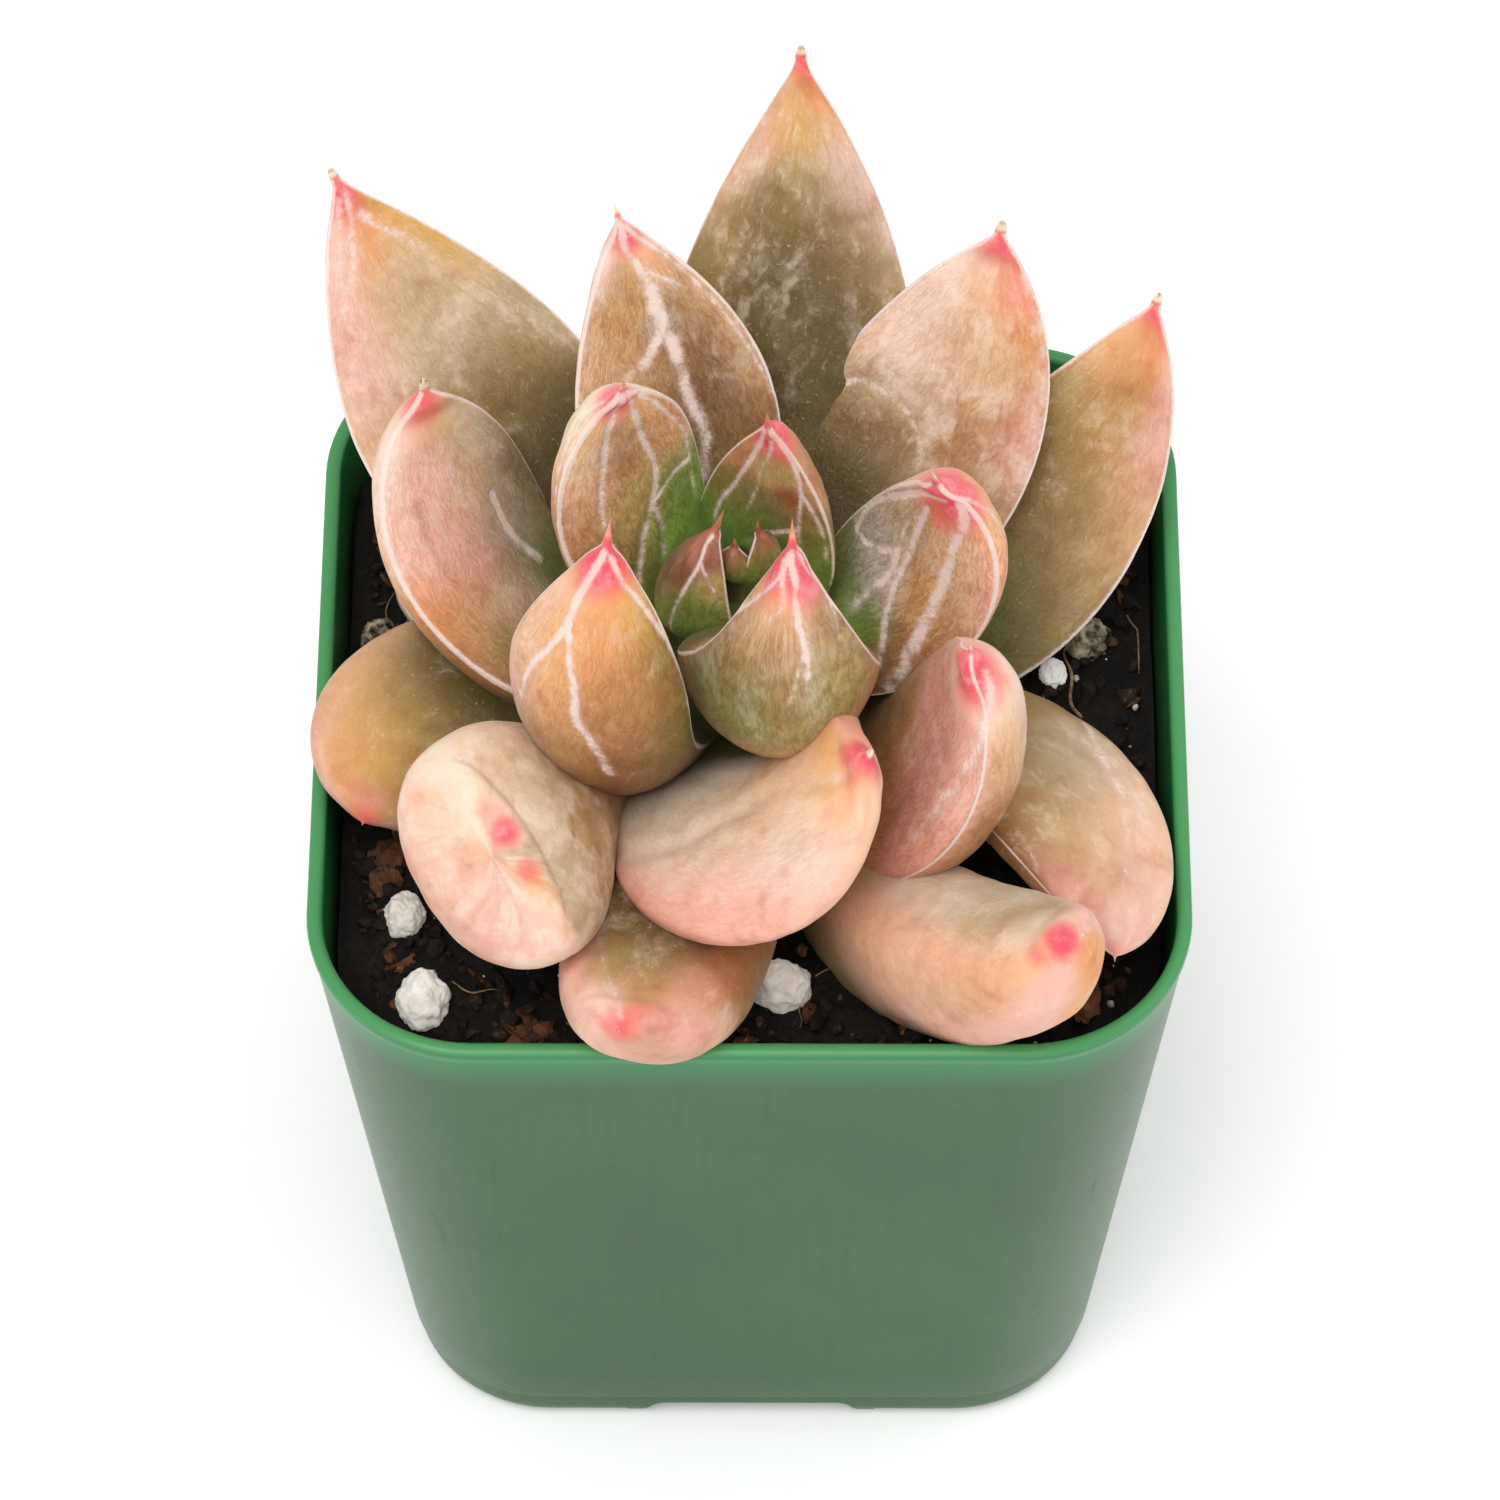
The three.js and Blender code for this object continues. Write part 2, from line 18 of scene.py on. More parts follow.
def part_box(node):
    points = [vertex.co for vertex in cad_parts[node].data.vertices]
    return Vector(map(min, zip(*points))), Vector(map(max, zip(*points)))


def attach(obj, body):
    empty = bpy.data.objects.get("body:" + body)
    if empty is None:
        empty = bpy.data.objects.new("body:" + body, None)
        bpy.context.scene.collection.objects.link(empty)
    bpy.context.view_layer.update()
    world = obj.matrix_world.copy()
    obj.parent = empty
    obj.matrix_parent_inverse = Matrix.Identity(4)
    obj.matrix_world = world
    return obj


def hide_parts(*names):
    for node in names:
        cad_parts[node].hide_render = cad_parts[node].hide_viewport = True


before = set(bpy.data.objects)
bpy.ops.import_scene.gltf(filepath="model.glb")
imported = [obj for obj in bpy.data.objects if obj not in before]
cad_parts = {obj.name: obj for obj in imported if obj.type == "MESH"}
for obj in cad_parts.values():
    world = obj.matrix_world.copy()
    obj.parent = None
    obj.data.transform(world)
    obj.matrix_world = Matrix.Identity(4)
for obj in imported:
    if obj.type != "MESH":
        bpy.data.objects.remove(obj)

LOG = logging.getLogger("succulent")
MM = 0.001
BODY = "root"
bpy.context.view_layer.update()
RIM_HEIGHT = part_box("pot")[1].z / MM
Array = np.ndarray


# ---- Colours ----
class Tone(Enum):
    """Pigments and finishes, as the eye sees them under a white lamp."""

    CREAM = "ecd9c2"
    SHELL = "f3d0bf"
    BLUSH = "ecbaa8"
    SALMON = "e3a592"
    PEACH = "f0c2a0"
    APRICOT = "f0b57c"
    ORANGE = "e69c5a"
    CORAL = "e37b62"
    ROSE = "ea8a8c"
    MAUVE = "bd8c7d"
    LILAC = "cb9496"
    GOLD = "dcae58"
    OCHRE = "c4955a"
    SAND = "dcb588"
    TAN = "bf9868"
    CLAY = "b07a4d"
    BROWN = "946837"
    UMBER = "6c4b28"
    RUSSET = "8a4c32"
    KHAKI = "ab9259"
    OLIVE = "86713a"
    MOSS = "5c4c20"
    DEEP = "3f3d12"
    GREEN = "74823a"
    FRESH = "76963e"
    SAGE = "c3b596"
    MIST = "bdb2a0"

    @property
    def linear(self) -> Array:
        """The tone as linear red, green and blue."""
        return linear(self.value)


def linear(code: str) -> Array:
    """Turns a hex code into linear red, green and blue.

    Args:
        code: Six hex digits.

    Returns:
        Three numbers from 0 to 1.
    """
    parts = np.array([int(code[i : i + 2], 16) / 255 for i in (0, 2, 4)])
    return np.where(parts <= 0.04045, parts / 12.92, ((parts + 0.055) / 1.055) ** 2.4)


def rgba(code: str) -> tuple[float, float, float, float]:
    """Turns a hex code into an opaque shader colour.

    Args:
        code: Six hex digits.

    Returns:
        Linear red, green, blue and 1.
    """
    return (*(float(part) for part in linear(code)), 1.0)


def smooth(low: float, high: float, value: Array) -> Array:
    """An eased step from 0 at low to 1 at high.

    Args:
        low: Where the step starts.
        high: Where it ends.
        value: What is measured.

    Returns:
        The eased share.
    """
    share = np.clip((value - low) / (high - low), 0, 1)
    return share * share * (3 - 2 * share)


def spin(angle: float) -> Array:
    """A turn about the vertical, for points that stand in rows."""
    across, along = math.cos(angle), math.sin(angle)
    return np.array([[across, along, 0], [-along, across, 0], [0, 0, 1]])


def ripple(points: Array, size: float, seed: int, waves: int = 10) -> Array:
    """Smooth seeded waviness in space.

    Args:
        points: Places, one per row.
        size: Rough distance between crests, in the same unit.
        seed: Picks the pattern.
        waves: How many plane waves are added.

    Returns:
        A value near -1 to 1 for each place.
    """
    dice = np.random.default_rng(seed)
    ways = dice.normal(size=(waves, 3))
    ways *= (2 * np.pi / size) * dice.uniform(0.6, 1.5, (waves, 1)) / np.linalg.norm(ways, axis=1, keepdims=True)
    return np.sin(points @ ways.T + dice.uniform(0, 2 * np.pi, waves)).sum(1) / math.sqrt(waves)


# ---- Shader maths ----
class Wire:
    """A shader value on which Python's operators add Math nodes."""

    def __init__(self, tree: "Shader", socket: bpy.types.NodeSocket) -> None:
        """Wraps a socket of a shader."""
        self.tree = tree
        self.socket = socket

    def _math(self, operation: str, first: Any, second: Any) -> "Wire":
        """Adds one Math node."""
        return self.tree.node("ShaderNodeMath", {"operation": operation}, {0: first, 1: second})["Value"]

    def __add__(self, other: Any) -> "Wire":
        """Sum."""
        return self._math("ADD", self, other)

    __radd__ = __add__

    def __sub__(self, other: Any) -> "Wire":
        """Difference."""
        return self._math("SUBTRACT", self, other)

    def __rsub__(self, other: Any) -> "Wire":
        """Difference, the other way round."""
        return self._math("SUBTRACT", other, self)

    def __mul__(self, other: Any) -> "Wire":
        """Product."""
        return self._math("MULTIPLY", self, other)

    __rmul__ = __mul__

    def step(self, low: float, high: float) -> "Wire":
        """An eased step from 0 at low to 1 at high."""
        inputs = {"Value": self, "From Min": low, "From Max": high}
        return self.tree.node("ShaderNodeMapRange", {"interpolation_type": "SMOOTHSTEP"}, inputs)["Result"]


class Outputs:
    """The outputs of one node, by name, as wires."""

    def __init__(self, tree: "Shader", node: bpy.types.Node) -> None:
        """Keeps the node."""
        self.tree = tree
        self.node = node

    def __getitem__(self, name: str) -> Wire:
        """The live output of that name."""
        found = [s for s in self.node.outputs if s.name == name and s.enabled]
        return Wire(self.tree, found[0])


class Shader:
    """A material under construction."""

    def __init__(self, name: str) -> None:
        """Starts an empty node material.

        Args:
            name: The material's name.
        """
        self.material = bpy.data.materials.new(name)
        self.material.use_nodes = True
        self.material.node_tree.nodes.clear()

    def node(self, kind: str, settings: dict[str, Any], inputs: dict[Any, Any]) -> Outputs:
        """Adds a node.

        Args:
            kind: The node's type.
            settings: Its properties, and "stops" for a colour ramp as (place, colour) pairs.
            inputs: Values or wires for its sockets, by name or number.

        Returns:
            Its outputs.
        """
        made = self.material.node_tree.nodes.new(kind)
        for key, value in settings.items():
            if key == "stops":
                ramp = made.color_ramp
                while len(ramp.elements) < len(value):
                    ramp.elements.new(0.5)
                for element, (place, colour) in zip(ramp.elements, value):
                    element.position = place
                    element.color = colour
            else:
                setattr(made, key, value)
        live = [s for s in made.inputs if s.enabled]
        for key, value in inputs.items():
            socket = live[key] if isinstance(key, int) else next(s for s in live if s.name == key)
            if isinstance(value, Wire):
                self.material.node_tree.links.new(value.socket, socket)
            else:
                socket.default_value = value
        return Outputs(self, made)

    def attribute(self, name: str, output: str) -> Wire:
        """Reads a mesh attribute."""
        return self.node("ShaderNodeAttribute", {"attribute_name": name}, {})[output]

    def place(self) -> Wire:
        """The point on the object, in metres."""
        return self.node("ShaderNodeTexCoord", {}, {})["Object"]

    def scaled(self, vector: Wire, by: tuple[float, float, float]) -> Wire:
        """A vector stretched along each axis."""
        return self.node("ShaderNodeVectorMath", {"operation": "MULTIPLY"}, {0: vector, 1: by})["Vector"]

    def moved(self, vector: Wire, by: Wire) -> Wire:
        """A vector shifted by another."""
        return self.node("ShaderNodeVectorMath", {"operation": "ADD"}, {0: vector, 1: by})["Vector"]

    def noise(self, vector: Wire, scale: float, detail: float = 2.0, rough: float = 0.5, bend: float = 0.0) -> Wire:
        """Fractal noise from 0 to 1."""
        inputs = {"Vector": vector, "Scale": scale, "Detail": detail, "Roughness": rough, "Distortion": bend}
        return self.node("ShaderNodeTexNoise", {}, inputs)["Fac"]

    def cells(self, vector: Wire, scale: float, randomness: float = 1.0) -> Wire:
        """Distance to the nearest of scattered points."""
        inputs = {"Vector": vector, "Scale": scale, "Randomness": randomness}
        return self.node("ShaderNodeTexVoronoi", {}, inputs)["Distance"]

    def mix(self, base: Any, top: Any, share: Any, blend: str = "MIX") -> Wire:
        """Lays one colour over another."""
        settings = {"data_type": "RGBA", "blend_type": blend}
        return self.node("ShaderNodeMix", settings, {"Factor": share, "A": base, "B": top})["Result"]

    def bump(self, height: Wire, depth: float, strength: float = 1.0) -> Wire:
        """A normal tilted by a height in metres times depth."""
        return self.node("ShaderNodeBump", {}, {"Strength": strength, "Distance": depth, "Height": height})["Normal"]

    def finish(self, inputs: dict[str, Any]) -> bpy.types.Material:
        """Ends the material in one principled surface.

        Args:
            inputs: Values or wires for the surface's sockets.

        Returns:
            The material.
        """
        surface = self.node("ShaderNodeBsdfPrincipled", {"subsurface_method": "RANDOM_WALK"}, inputs)
        self.node("ShaderNodeOutputMaterial", {}, {"Surface": surface["BSDF"]})
        return self.material


# ---- Finishes ----
@dataclass(frozen=True)
class LeafFinish:
    """Waxy leaf skin with pigment, fine wavy lines, bloom imprints and a blushed tip."""

    name: str
    streak: float = 0.5
    mottle: float = 0.5
    shine: float = 0.46

    def build(self) -> bpy.types.Material:
        """Makes the material.

        Returns:
            The material, which reads the leaf's own attributes.
        """
        shader = Shader(self.name)
        space = shader.attribute("leaf_space", "Vector")
        pigment = shader.attribute("pigment", "Color")
        bloom = shader.attribute("bloom", "Fac")
        blush = shader.attribute("blush", "Fac")
        lined = shader.attribute("lined", "Fac")
        veil = shader.attribute("film", "Fac")
        place = shader.place()

        sway = shader.node("ShaderNodeTexNoise", {}, {"Vector": space, "Scale": 0.9, "Detail": 2.0})
        bent = shader.moved(space, shader.scaled(sway["Color"], (1.3, 0, 0)))
        fine = shader.noise(shader.scaled(bent, (5.2, 1.05, 1.6)), 1.0, 2.0, 0.55)
        beads = shader.noise(shader.scaled(bent, (5.2, 3.6, 2.5)), 1.0, 1.0, 0.5)
        lines = (fine * 0.75 + beads * 0.25).step(0.36, 0.64)
        coarse = shader.noise(place, 260.0, 4.0, 0.6, 0.4)
        cloud = shader.noise(place, 900.0, 3.0, 0.6)
        speck = shader.noise(place, 3600.0, 2.0, 0.6)

        deeper = shader.mix(pigment, rgba("a5744a"), 1.0, "MULTIPLY")
        colour = shader.mix(pigment, deeper, (1 - lines) * lined * (0.4 * self.streak))
        rubbed = shader.noise(shader.scaled(bent, (0.55, 0.28, 0.5)), 1.0, 5.0, 0.72, 0.8)
        film = (coarse * 0.4 + rubbed * 0.6 + (veil - 0.5) * 0.3).step(0.45, 0.6)
        film = film * (0.3 + cloud.step(0.36, 0.62) * 0.7)
        colour = shader.mix(colour, rgba("f3e0cb"), film * veil * (0.95 * self.mottle))
        spots = coarse.step(0.56, 0.28) * (cloud.step(0.36, 0.7) * 0.7 + 0.3)
        colour = shader.mix(colour, rgba("c28a58"), spots * (0.5 * self.mottle), "MULTIPLY")
        colour = shader.mix(colour, rgba("fff3e6"), speck.step(0.62, 0.78) * (0.22 * self.mottle))

        rim = (blush + (coarse - 0.5) * 0.35 + (cloud - 0.5) * 0.25).step(0.22, 0.72)
        colour = shader.mix(colour, rgba("ea6a55"), rim * 0.5)
        core = (blush + (cloud - 0.5) * 0.7 + (coarse - 0.5) * 0.4).step(0.5, 1.0)
        hot = shader.mix(rgba("e23c5a"), rgba("f2959a"), cloud.step(0.4, 0.7) * 0.75)
        colour = shader.mix(colour, hot, core * 0.85)

        ragged = bloom + (cloud - 0.5) * 0.4 + (speck - 0.5) * 0.28 + (coarse - 0.5) * 0.2
        dust = ragged.step(0.36, 0.72)
        halo = ragged.step(0.14, 0.6)
        colour = shader.mix(colour, rgba("e9cdbd"), halo * 0.3)
        white = shader.mix(rgba("f1ddd3"), rgba("f2b9b4"), rim * 0.5)
        colour = shader.mix(colour, white, dust * 0.82)

        height = lines * lined * 0.5 + speck * 0.5 + cloud * 0.9 + dust * 1.4
        return shader.finish(
            {
                "Base Color": colour,
                "Roughness": (cloud * 0.14 + dust * 0.16) + (self.shine - 0.06),
                "Normal": shader.bump(height, 0.00006, 0.75),
                "Specular IOR Level": 0.34,
                "Subsurface Weight": 0.22,
                "Subsurface Radius": (1.0, 0.42, 0.22),
                "Subsurface Scale": 0.0016,
                "Sheen Weight": 0.04,
                "Sheen Roughness": 0.5,
                "Sheen Tint": (1.0, 0.95, 0.9, 1.0),
            }
        )


@dataclass(frozen=True)
class PotPlastic:
    """Satin moulded polypropylene with a faint orange-peel face and scuffs, with painted light at the rim: a brighter
    green band and a pale painted highlight along the lip.
    """

    name: str = "pot_plastic"

    def build(self) -> bpy.types.Material:
        """Makes the material.

        Returns:
            The material.
        """
        shader = Shader(self.name)
        place = shader.place()
        peel = shader.noise(place, 1500.0, 2.0, 0.5)
        cloud = shader.noise(place, 45.0, 3.0, 0.6)
        draw = shader.noise(shader.scaled(place, (1.0, 1.0, 0.03)), 900.0, 2.0, 0.6)
        scuff = shader.noise(shader.scaled(place, (1.0, 1.0, 0.12)), 420.0, 4.0, 0.75, 0.6)
        height = shader.node("ShaderNodeSeparateXYZ", {}, {0: place})["Z"]
        # Painted light: the top of the wall turns a brighter, more saturated green, for light shining through the thin
        # rim.
        top = height.step((RIM_HEIGHT - 5) * MM, (RIM_HEIGHT - 1) * MM)
        colour = shader.mix(rgba("265229"), rgba("2e5c30"), cloud.step(0.3, 0.7))
        colour = shader.mix(colour, rgba("234c26"), draw.step(0.5, 0.75) * 0.35)
        colour = shader.mix(colour, rgba("1f8346"), top * 0.8)
        # Painted highlight: a pale green line along the lip.
        lip = height.step((RIM_HEIGHT - 0.5) * MM, (RIM_HEIGHT - 0.12) * MM)
        colour = shader.mix(colour, rgba("6fb878"), lip * 0.35)
        colour = shader.mix(colour, rgba("7f9a7c"), scuff.step(0.66, 0.82) * 0.25)
        return shader.finish(
            {
                "Base Color": colour,
                "Roughness": 0.27 + cloud * 0.1 + scuff.step(0.6, 0.8) * 0.2,
                "Normal": shader.bump(peel * 0.6 + draw * 0.4 + scuff * 0.3, 0.00004, 0.6),
                "Specular IOR Level": 0.3,
                "Subsurface Weight": 0.06,
                "Subsurface Radius": (0.3, 1.0, 0.35),
                "Subsurface Scale": 0.0008,
            }
        )


@dataclass(frozen=True)
class GrainFinish:
    """A crumbly or woody matter: three browns or whites mixed by noise over a rough face."""

    name: str
    dark: str
    middle: str
    light: str
    size: float = 700.0
    rough: float = 0.9
    depth: float = 0.0002
    stretch: tuple[float, float, float] = (1.0, 1.0, 1.0)
    pores: float = 0.0
    sheen: float = 0.3
    # How much the grain shines of itself: painted light that keeps white grains bright.
    painted_glow: float = 0.0

    def build(self) -> bpy.types.Material:
        """Makes the material.

        Returns:
            The material.
        """
        shader = Shader(self.name)
        place = shader.scaled(shader.place(), self.stretch)
        broad = shader.noise(place, self.size * 0.4, 3.0, 0.6)
        fine = shader.noise(place, self.size * 2.2, 4.0, 0.7, 0.3)
        pits = shader.cells(place, self.size * 1.6).step(0.32, 0.12)
        colour = shader.mix(rgba(self.dark), rgba(self.middle), (broad * 0.6 + fine * 0.4).step(0.38, 0.6))
        colour = shader.mix(colour, rgba(self.light), (fine * 0.7 + broad * 0.3).step(0.56, 0.74))
        colour = shader.mix(colour, rgba(self.dark), pits * self.pores)
        height = fine * 0.7 + broad * 0.6 - pits * (1.4 * self.pores)
        return shader.finish(
            {
                "Base Color": colour,
                "Roughness": self.rough - fine * 0.18,
                "Normal": shader.bump(height, self.depth, 0.9),
                "Specular IOR Level": self.sheen,
                # Painted light: the grain also gives off its own colour as light.
                "Emission Color": colour,
                "Emission Strength": self.painted_glow,
            }
        )


@dataclass(frozen=True)
class StudioPaper:
    """The pale sweep that the pot stands on."""

    name: str = "studio_paper"

    def build(self) -> bpy.types.Material:
        """Makes the material.

        Returns:
            The material.
        """
        shader = Shader(self.name)
        fibre = shader.noise(shader.place(), 700.0, 3.0, 0.6)
        colour = shader.mix(rgba("fbfbfa"), rgba("ffffff"), fibre)
        return shader.finish(
            {
                "Base Color": colour,
                "Roughness": 0.9,
                "Specular IOR Level": 0.1,
                "Emission Color": colour,
                "Emission Strength": 0.14,
            }
        )


# ---- Meshes ----
def make_mesh(
    name: str, points: Array, faces: list[tuple[int, ...]], material: bpy.types.Material, sharp: float = 40.0
) -> bpy.types.Object:
    """Makes a mesh object.

    Args:
        name: The piece's name.
        points: Corners in millimetres.
        faces: Corner numbers of each face.
        material: Its finish.
        sharp: Angle in degrees above which an edge stays crisp.

    Returns:
        The object, linked to the scene.
    """
    mesh = bpy.data.meshes.new(name)
    mesh.from_pydata((points * MM).tolist(), [], faces)
    mesh.materials.append(material)
    mesh.shade_smooth()
    mesh.set_sharp_from_angle(angle=math.radians(sharp))
    mesh.validate()
    made = bpy.data.objects.new(name, mesh)
    bpy.context.scene.collection.objects.link(made)
    return made


def place_piece(piece: bpy.types.Object, slot: str, node: str | None = None) -> None:
    """Seats a finished piece on the frame.

    Args:
        piece: The object.
        slot: The record's material slot; not used.
        node: The CAD node that it stands for, if any.
    """
    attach(piece, BODY)
    if node:
        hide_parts(node)
    LOG.info("%s: %d faces", piece.name, len(piece.data.polygons))


def tube_faces(rings: int, around: int) -> list[tuple[int, ...]]:
    """Faces of a closed skin over rings of points, with a fan at each end.

    Args:
        rings: How many rings there are.
        around: Points in each.

    Returns:
        The faces. The two end points follow the rings.
    """
    faces = []
    for ring in range(rings - 1):
        for side in range(around):
            a, b = ring * around + side, ring * around + (side + 1) % around
            faces.append((a, b, b + around, a + around))
    first, last, low = rings * around, rings * around + 1, (rings - 1) * around
    for side in range(around):
        following = (side + 1) % around
        faces.append((following, side, first))
        faces.append((low + side, low + following, last))
    return faces


# ---- Leaves ----
# Painted shade: how much darker each whorl's pigment is made at the stem, where the leaves crowd and little light
# reaches.
PAINTED_STEM_SHADE = {"heart": 0.25, "inner": 0.3, "middle": 0.5, "outer": 0.6, "low": 0.6}  # darkening at the stem
COOL = np.array([0.97, 1.0, 1.16])  # the cast of the youngest leaves
STEM_HEIGHTS = (-4, 13)  # over the rim
STEM_REACHES = (3, 0.6)  # how far from the stem's middle a leaf starts there, in sockets


# Places on a leaf are given as along, from 0 at the stem to 1 at the tip, and around, from 0 at the right
# margin over the upper face (0.25) to the left margin (0.5) and back under the keel (0.75).
@dataclass(frozen=True)
class Wash:
    """A soft patch of pigment, with its reach along the leaf and its spread around it."""

    along: float
    around: float
    tone: Tone
    reach: float = 0.085
    spread: float = 0.07


@dataclass(frozen=True)
class Stroke:
    """A line drawn on the skin: white bloom left where a neighbour pressed, or a stain if it has a tone.

    Widths and lifts are in millimetres, and flare is how much wider the line ends than it starts.
    """

    path: tuple[tuple[float, float], ...]
    width: float = 0.55
    strength: float = 1.0
    tone: Tone | None = None
    lift: float = 0.1
    flare: float = 1.0


@dataclass(frozen=True)
class Flush:
    """Where the skin reddens, and how many millimetres round about."""

    along: float
    around: float
    reach: float = 2.6
    strength: float = 1.0


@dataclass(frozen=True)
class Leaf:
    """One leaf: its run off the stem, its outline, its tip and its markings.

    Angles are in degrees and sizes in millimetres. rise turns into curl, and the bearing swings, from the stem
    to the tip. height is that of the leaf's root over the rim.
    """

    node: str
    bearing: float
    rise: float
    curl: float
    length: float
    width: float
    thick: float
    height: float
    swing: float = 0.0
    roll: float = 0.0
    neck: float = 0.42
    crest: float = 0.5
    taper: float = 2.3
    blunt: float = 0.8
    belly: float = 0.5
    root: float = 0.55
    haste: float = 1.0
    point: float = 0.7
    point_width: float = 0.8
    cap: Tone = Tone.CREAM
    margin: float = 0.42
    plump: float = 0.0
    swell: float = 1.15
    # Scales the whole pigment: painted light above 1, for leaves the lamps reach less, and painted shade below 1.
    gain: float = 1.0
    film: float = 0.5
    dried: bool = False
    streak: float = 1.0
    base: tuple[Tone, ...] = (Tone.GREEN, Tone.OLIVE, Tone.TAN, Tone.SAND, Tone.BLUSH)
    washes: tuple[Wash, ...] = ()
    strokes: tuple[Stroke, ...] = ()
    flushes: tuple[Flush, ...] = ()

    @property
    def ring(self) -> str:
        """Which whorl the leaf belongs to."""
        return self.node.split("_")[1]

    @property
    def end(self) -> float:
        """The most that along reaches, on the point of the tip."""
        return 1 + self.point / self.length


def outline(along: Array, crest: float, start: float, taper: float, blunt: float, swell: float) -> Array:
    """A leaf's width or depth along its length, as a share of its most.

    Args:
        along: Places along the leaf.
        crest: Where it is widest.
        start: Its share at the stem.
        taper: How late it narrows.
        blunt: How round it ends.
        swell: How late it widens.

    Returns:
        Shares from 0 to 1.
    """
    rising = start + (1 - start) * np.sin(np.pi / 2 * np.clip(along / crest, 0, 1)) ** swell
    falling = np.maximum(1 - np.clip((along - crest) / (1 - crest), 0, 1) ** taper, 0) ** blunt
    return np.where(along < crest, rising, falling)


@dataclass
class Skin:
    """What is worked out at each point of one leaf's skin."""

    leaf: Leaf
    seed: int
    points: Array
    along: Array
    around: Array
    colour: Array
    bloom: Array
    blush: Array
    lift: Array


@dataclass
class Rosette:
    """All the leaves, on one stem."""

    stem_x: float = -0.6
    stem_y: float = 1.2
    socket: float = 0.8
    rows: int = 150
    columns: int = 144
    slices: int = 640
    tip_from: float = 0.93
    tip_rows: float = 0.14
    skins: dict[str, bpy.types.Material] = field(default_factory=dict)

    def frames(self, leaf: Leaf, along: Array) -> tuple[Array, Array]:
        """Which way a leaf points and which way its upper face looks, before it rolls.

        Args:
            leaf: The leaf.
            along: Places along it.

        Returns:
            Unit forward and up vectors, one row for each place.
        """
        turned = np.clip(along, 0, 1) ** leaf.haste
        slope = np.radians(leaf.rise + (leaf.curl - leaf.rise) * turned)
        heading = np.radians(leaf.bearing + leaf.swing * turned)
        level = np.stack([np.cos(heading), np.sin(heading)], -1)
        forward = np.column_stack([level * np.cos(slope)[:, None], np.sin(slope)])
        up = np.column_stack([-level * np.sin(slope)[:, None], np.cos(slope)])
        return forward, up

    def surface(self, leaf: Leaf, along: Array, around: Array) -> Array:
        """Points on a leaf's skin.

        Args:
            leaf: The leaf.
            along: Places along it, one per point, which pass 1 on the point of the tip.
            around: Places around it, one per point.

        Returns:
            The points in millimetres.
        """
        end = leaf.end
        steps = np.linspace(0, end, self.slices + 1)
        forward, _ = self.frames(leaf, (steps[1:] + steps[:-1]) / 2)
        reach = self.socket * np.interp(leaf.height, STEM_HEIGHTS, STEM_REACHES)
        bearing = math.radians(leaf.bearing)
        start = np.array(
            [
                self.stem_x + reach * math.cos(bearing),
                self.stem_y + reach * math.sin(bearing),
                RIM_HEIGHT + leaf.height,
            ]
        )
        line = np.vstack([start, start + np.cumsum(forward * leaf.length * end / self.slices, 0)])
        centre = np.column_stack([np.interp(along, steps, line[:, axis]) for axis in range(3)])
        forward, up = self.frames(leaf, along)
        side = np.cross(forward, up)
        roll = math.radians(leaf.roll)
        up, side = math.cos(roll) * up + math.sin(roll) * side, math.cos(roll) * side - math.sin(roll) * up
        spike = np.clip((end - along) / (end - 1 + 0.035), 0, 1) ** (0.3 if leaf.dried else 1.25)
        half = leaf.width / 2 * outline(along, leaf.crest, leaf.neck, leaf.taper, leaf.blunt, leaf.swell)
        deep = leaf.thick * outline(along, leaf.belly, leaf.root, 2, 0.6, leaf.swell)
        thorn = leaf.point_width / 2 * spike * smooth(0.8, 1, along)
        half = (half**3 + thorn**3) ** (1 / 3)
        deep = (deep**3 + (1.4 * thorn) ** 3) ** (1 / 3)
        across, high = self.section(leaf, around)
        sunk = high + 0.28 * smooth(self.tip_from, 1.0, along)
        return centre + side * (across * half)[:, None] + up * (sunk * deep)[:, None]

    @staticmethod
    def section(leaf: Leaf, around: Array) -> tuple[Array, Array]:
        """A leaf's cross-section: a low upper face over a deep keel, both rounder on a plump leaf.

        Args:
            leaf: The leaf.
            around: Places around it.

        Returns:
            Shares of the half width across, and shares of the depth upwards.
        """
        turn = 2 * np.pi * around
        lift, reach = np.sin(turn), np.cos(turn)
        over = (0.22 + 0.16 * leaf.plump) * np.abs(lift) ** (1.4 - 0.55 * leaf.plump)
        under = (0.78 - 0.1 * leaf.plump) * np.abs(lift) ** (1.24 - 0.36 * leaf.plump)
        across = np.sign(reach) * np.abs(reach) ** (1 - 0.12 * leaf.plump)
        return across, np.where(lift > 0, over, -under)

    def distance(self, leaf: Leaf, points: Array, path: tuple[tuple[float, float], ...]) -> tuple[Array, Array]:
        """How far each point of the skin is from a line drawn on it, and how far along the line that is.

        Args:
            leaf: The leaf.
            points: The skin's points.
            path: The line, as places along and around the leaf.

        Returns:
            Distances in millimetres, and shares of the line's run from 0 to 1.
        """
        knots = np.array(path)
        knots[:, 1] = np.unwrap(knots[:, 1], period=1)
        spans = np.concatenate([[0], np.cumsum(np.hypot(np.diff(knots[:, 0]), np.diff(knots[:, 1])))])
        places = np.linspace(0, spans[-1], 14 * len(knots))
        eased = [self.eased(spans, knots[:, axis], places) for axis in (0, 1)]
        drawn = self.surface(leaf, eased[0], eased[1])
        starts, ends = drawn[:-1], drawn[1:]
        best = np.full(len(points), 1e9)
        where = np.zeros(len(points))
        for index, (start, stop) in enumerate(zip(starts, ends)):
            run = stop - start
            share = np.clip((points - start) @ run / max(float(run @ run), 1e-9), 0, 1)
            away = ((points - start - share[:, None] * run) ** 2).sum(1)
            where = np.where(away < best, (index + share) / len(starts), where)
            best = np.minimum(best, away)
        return np.sqrt(best), where

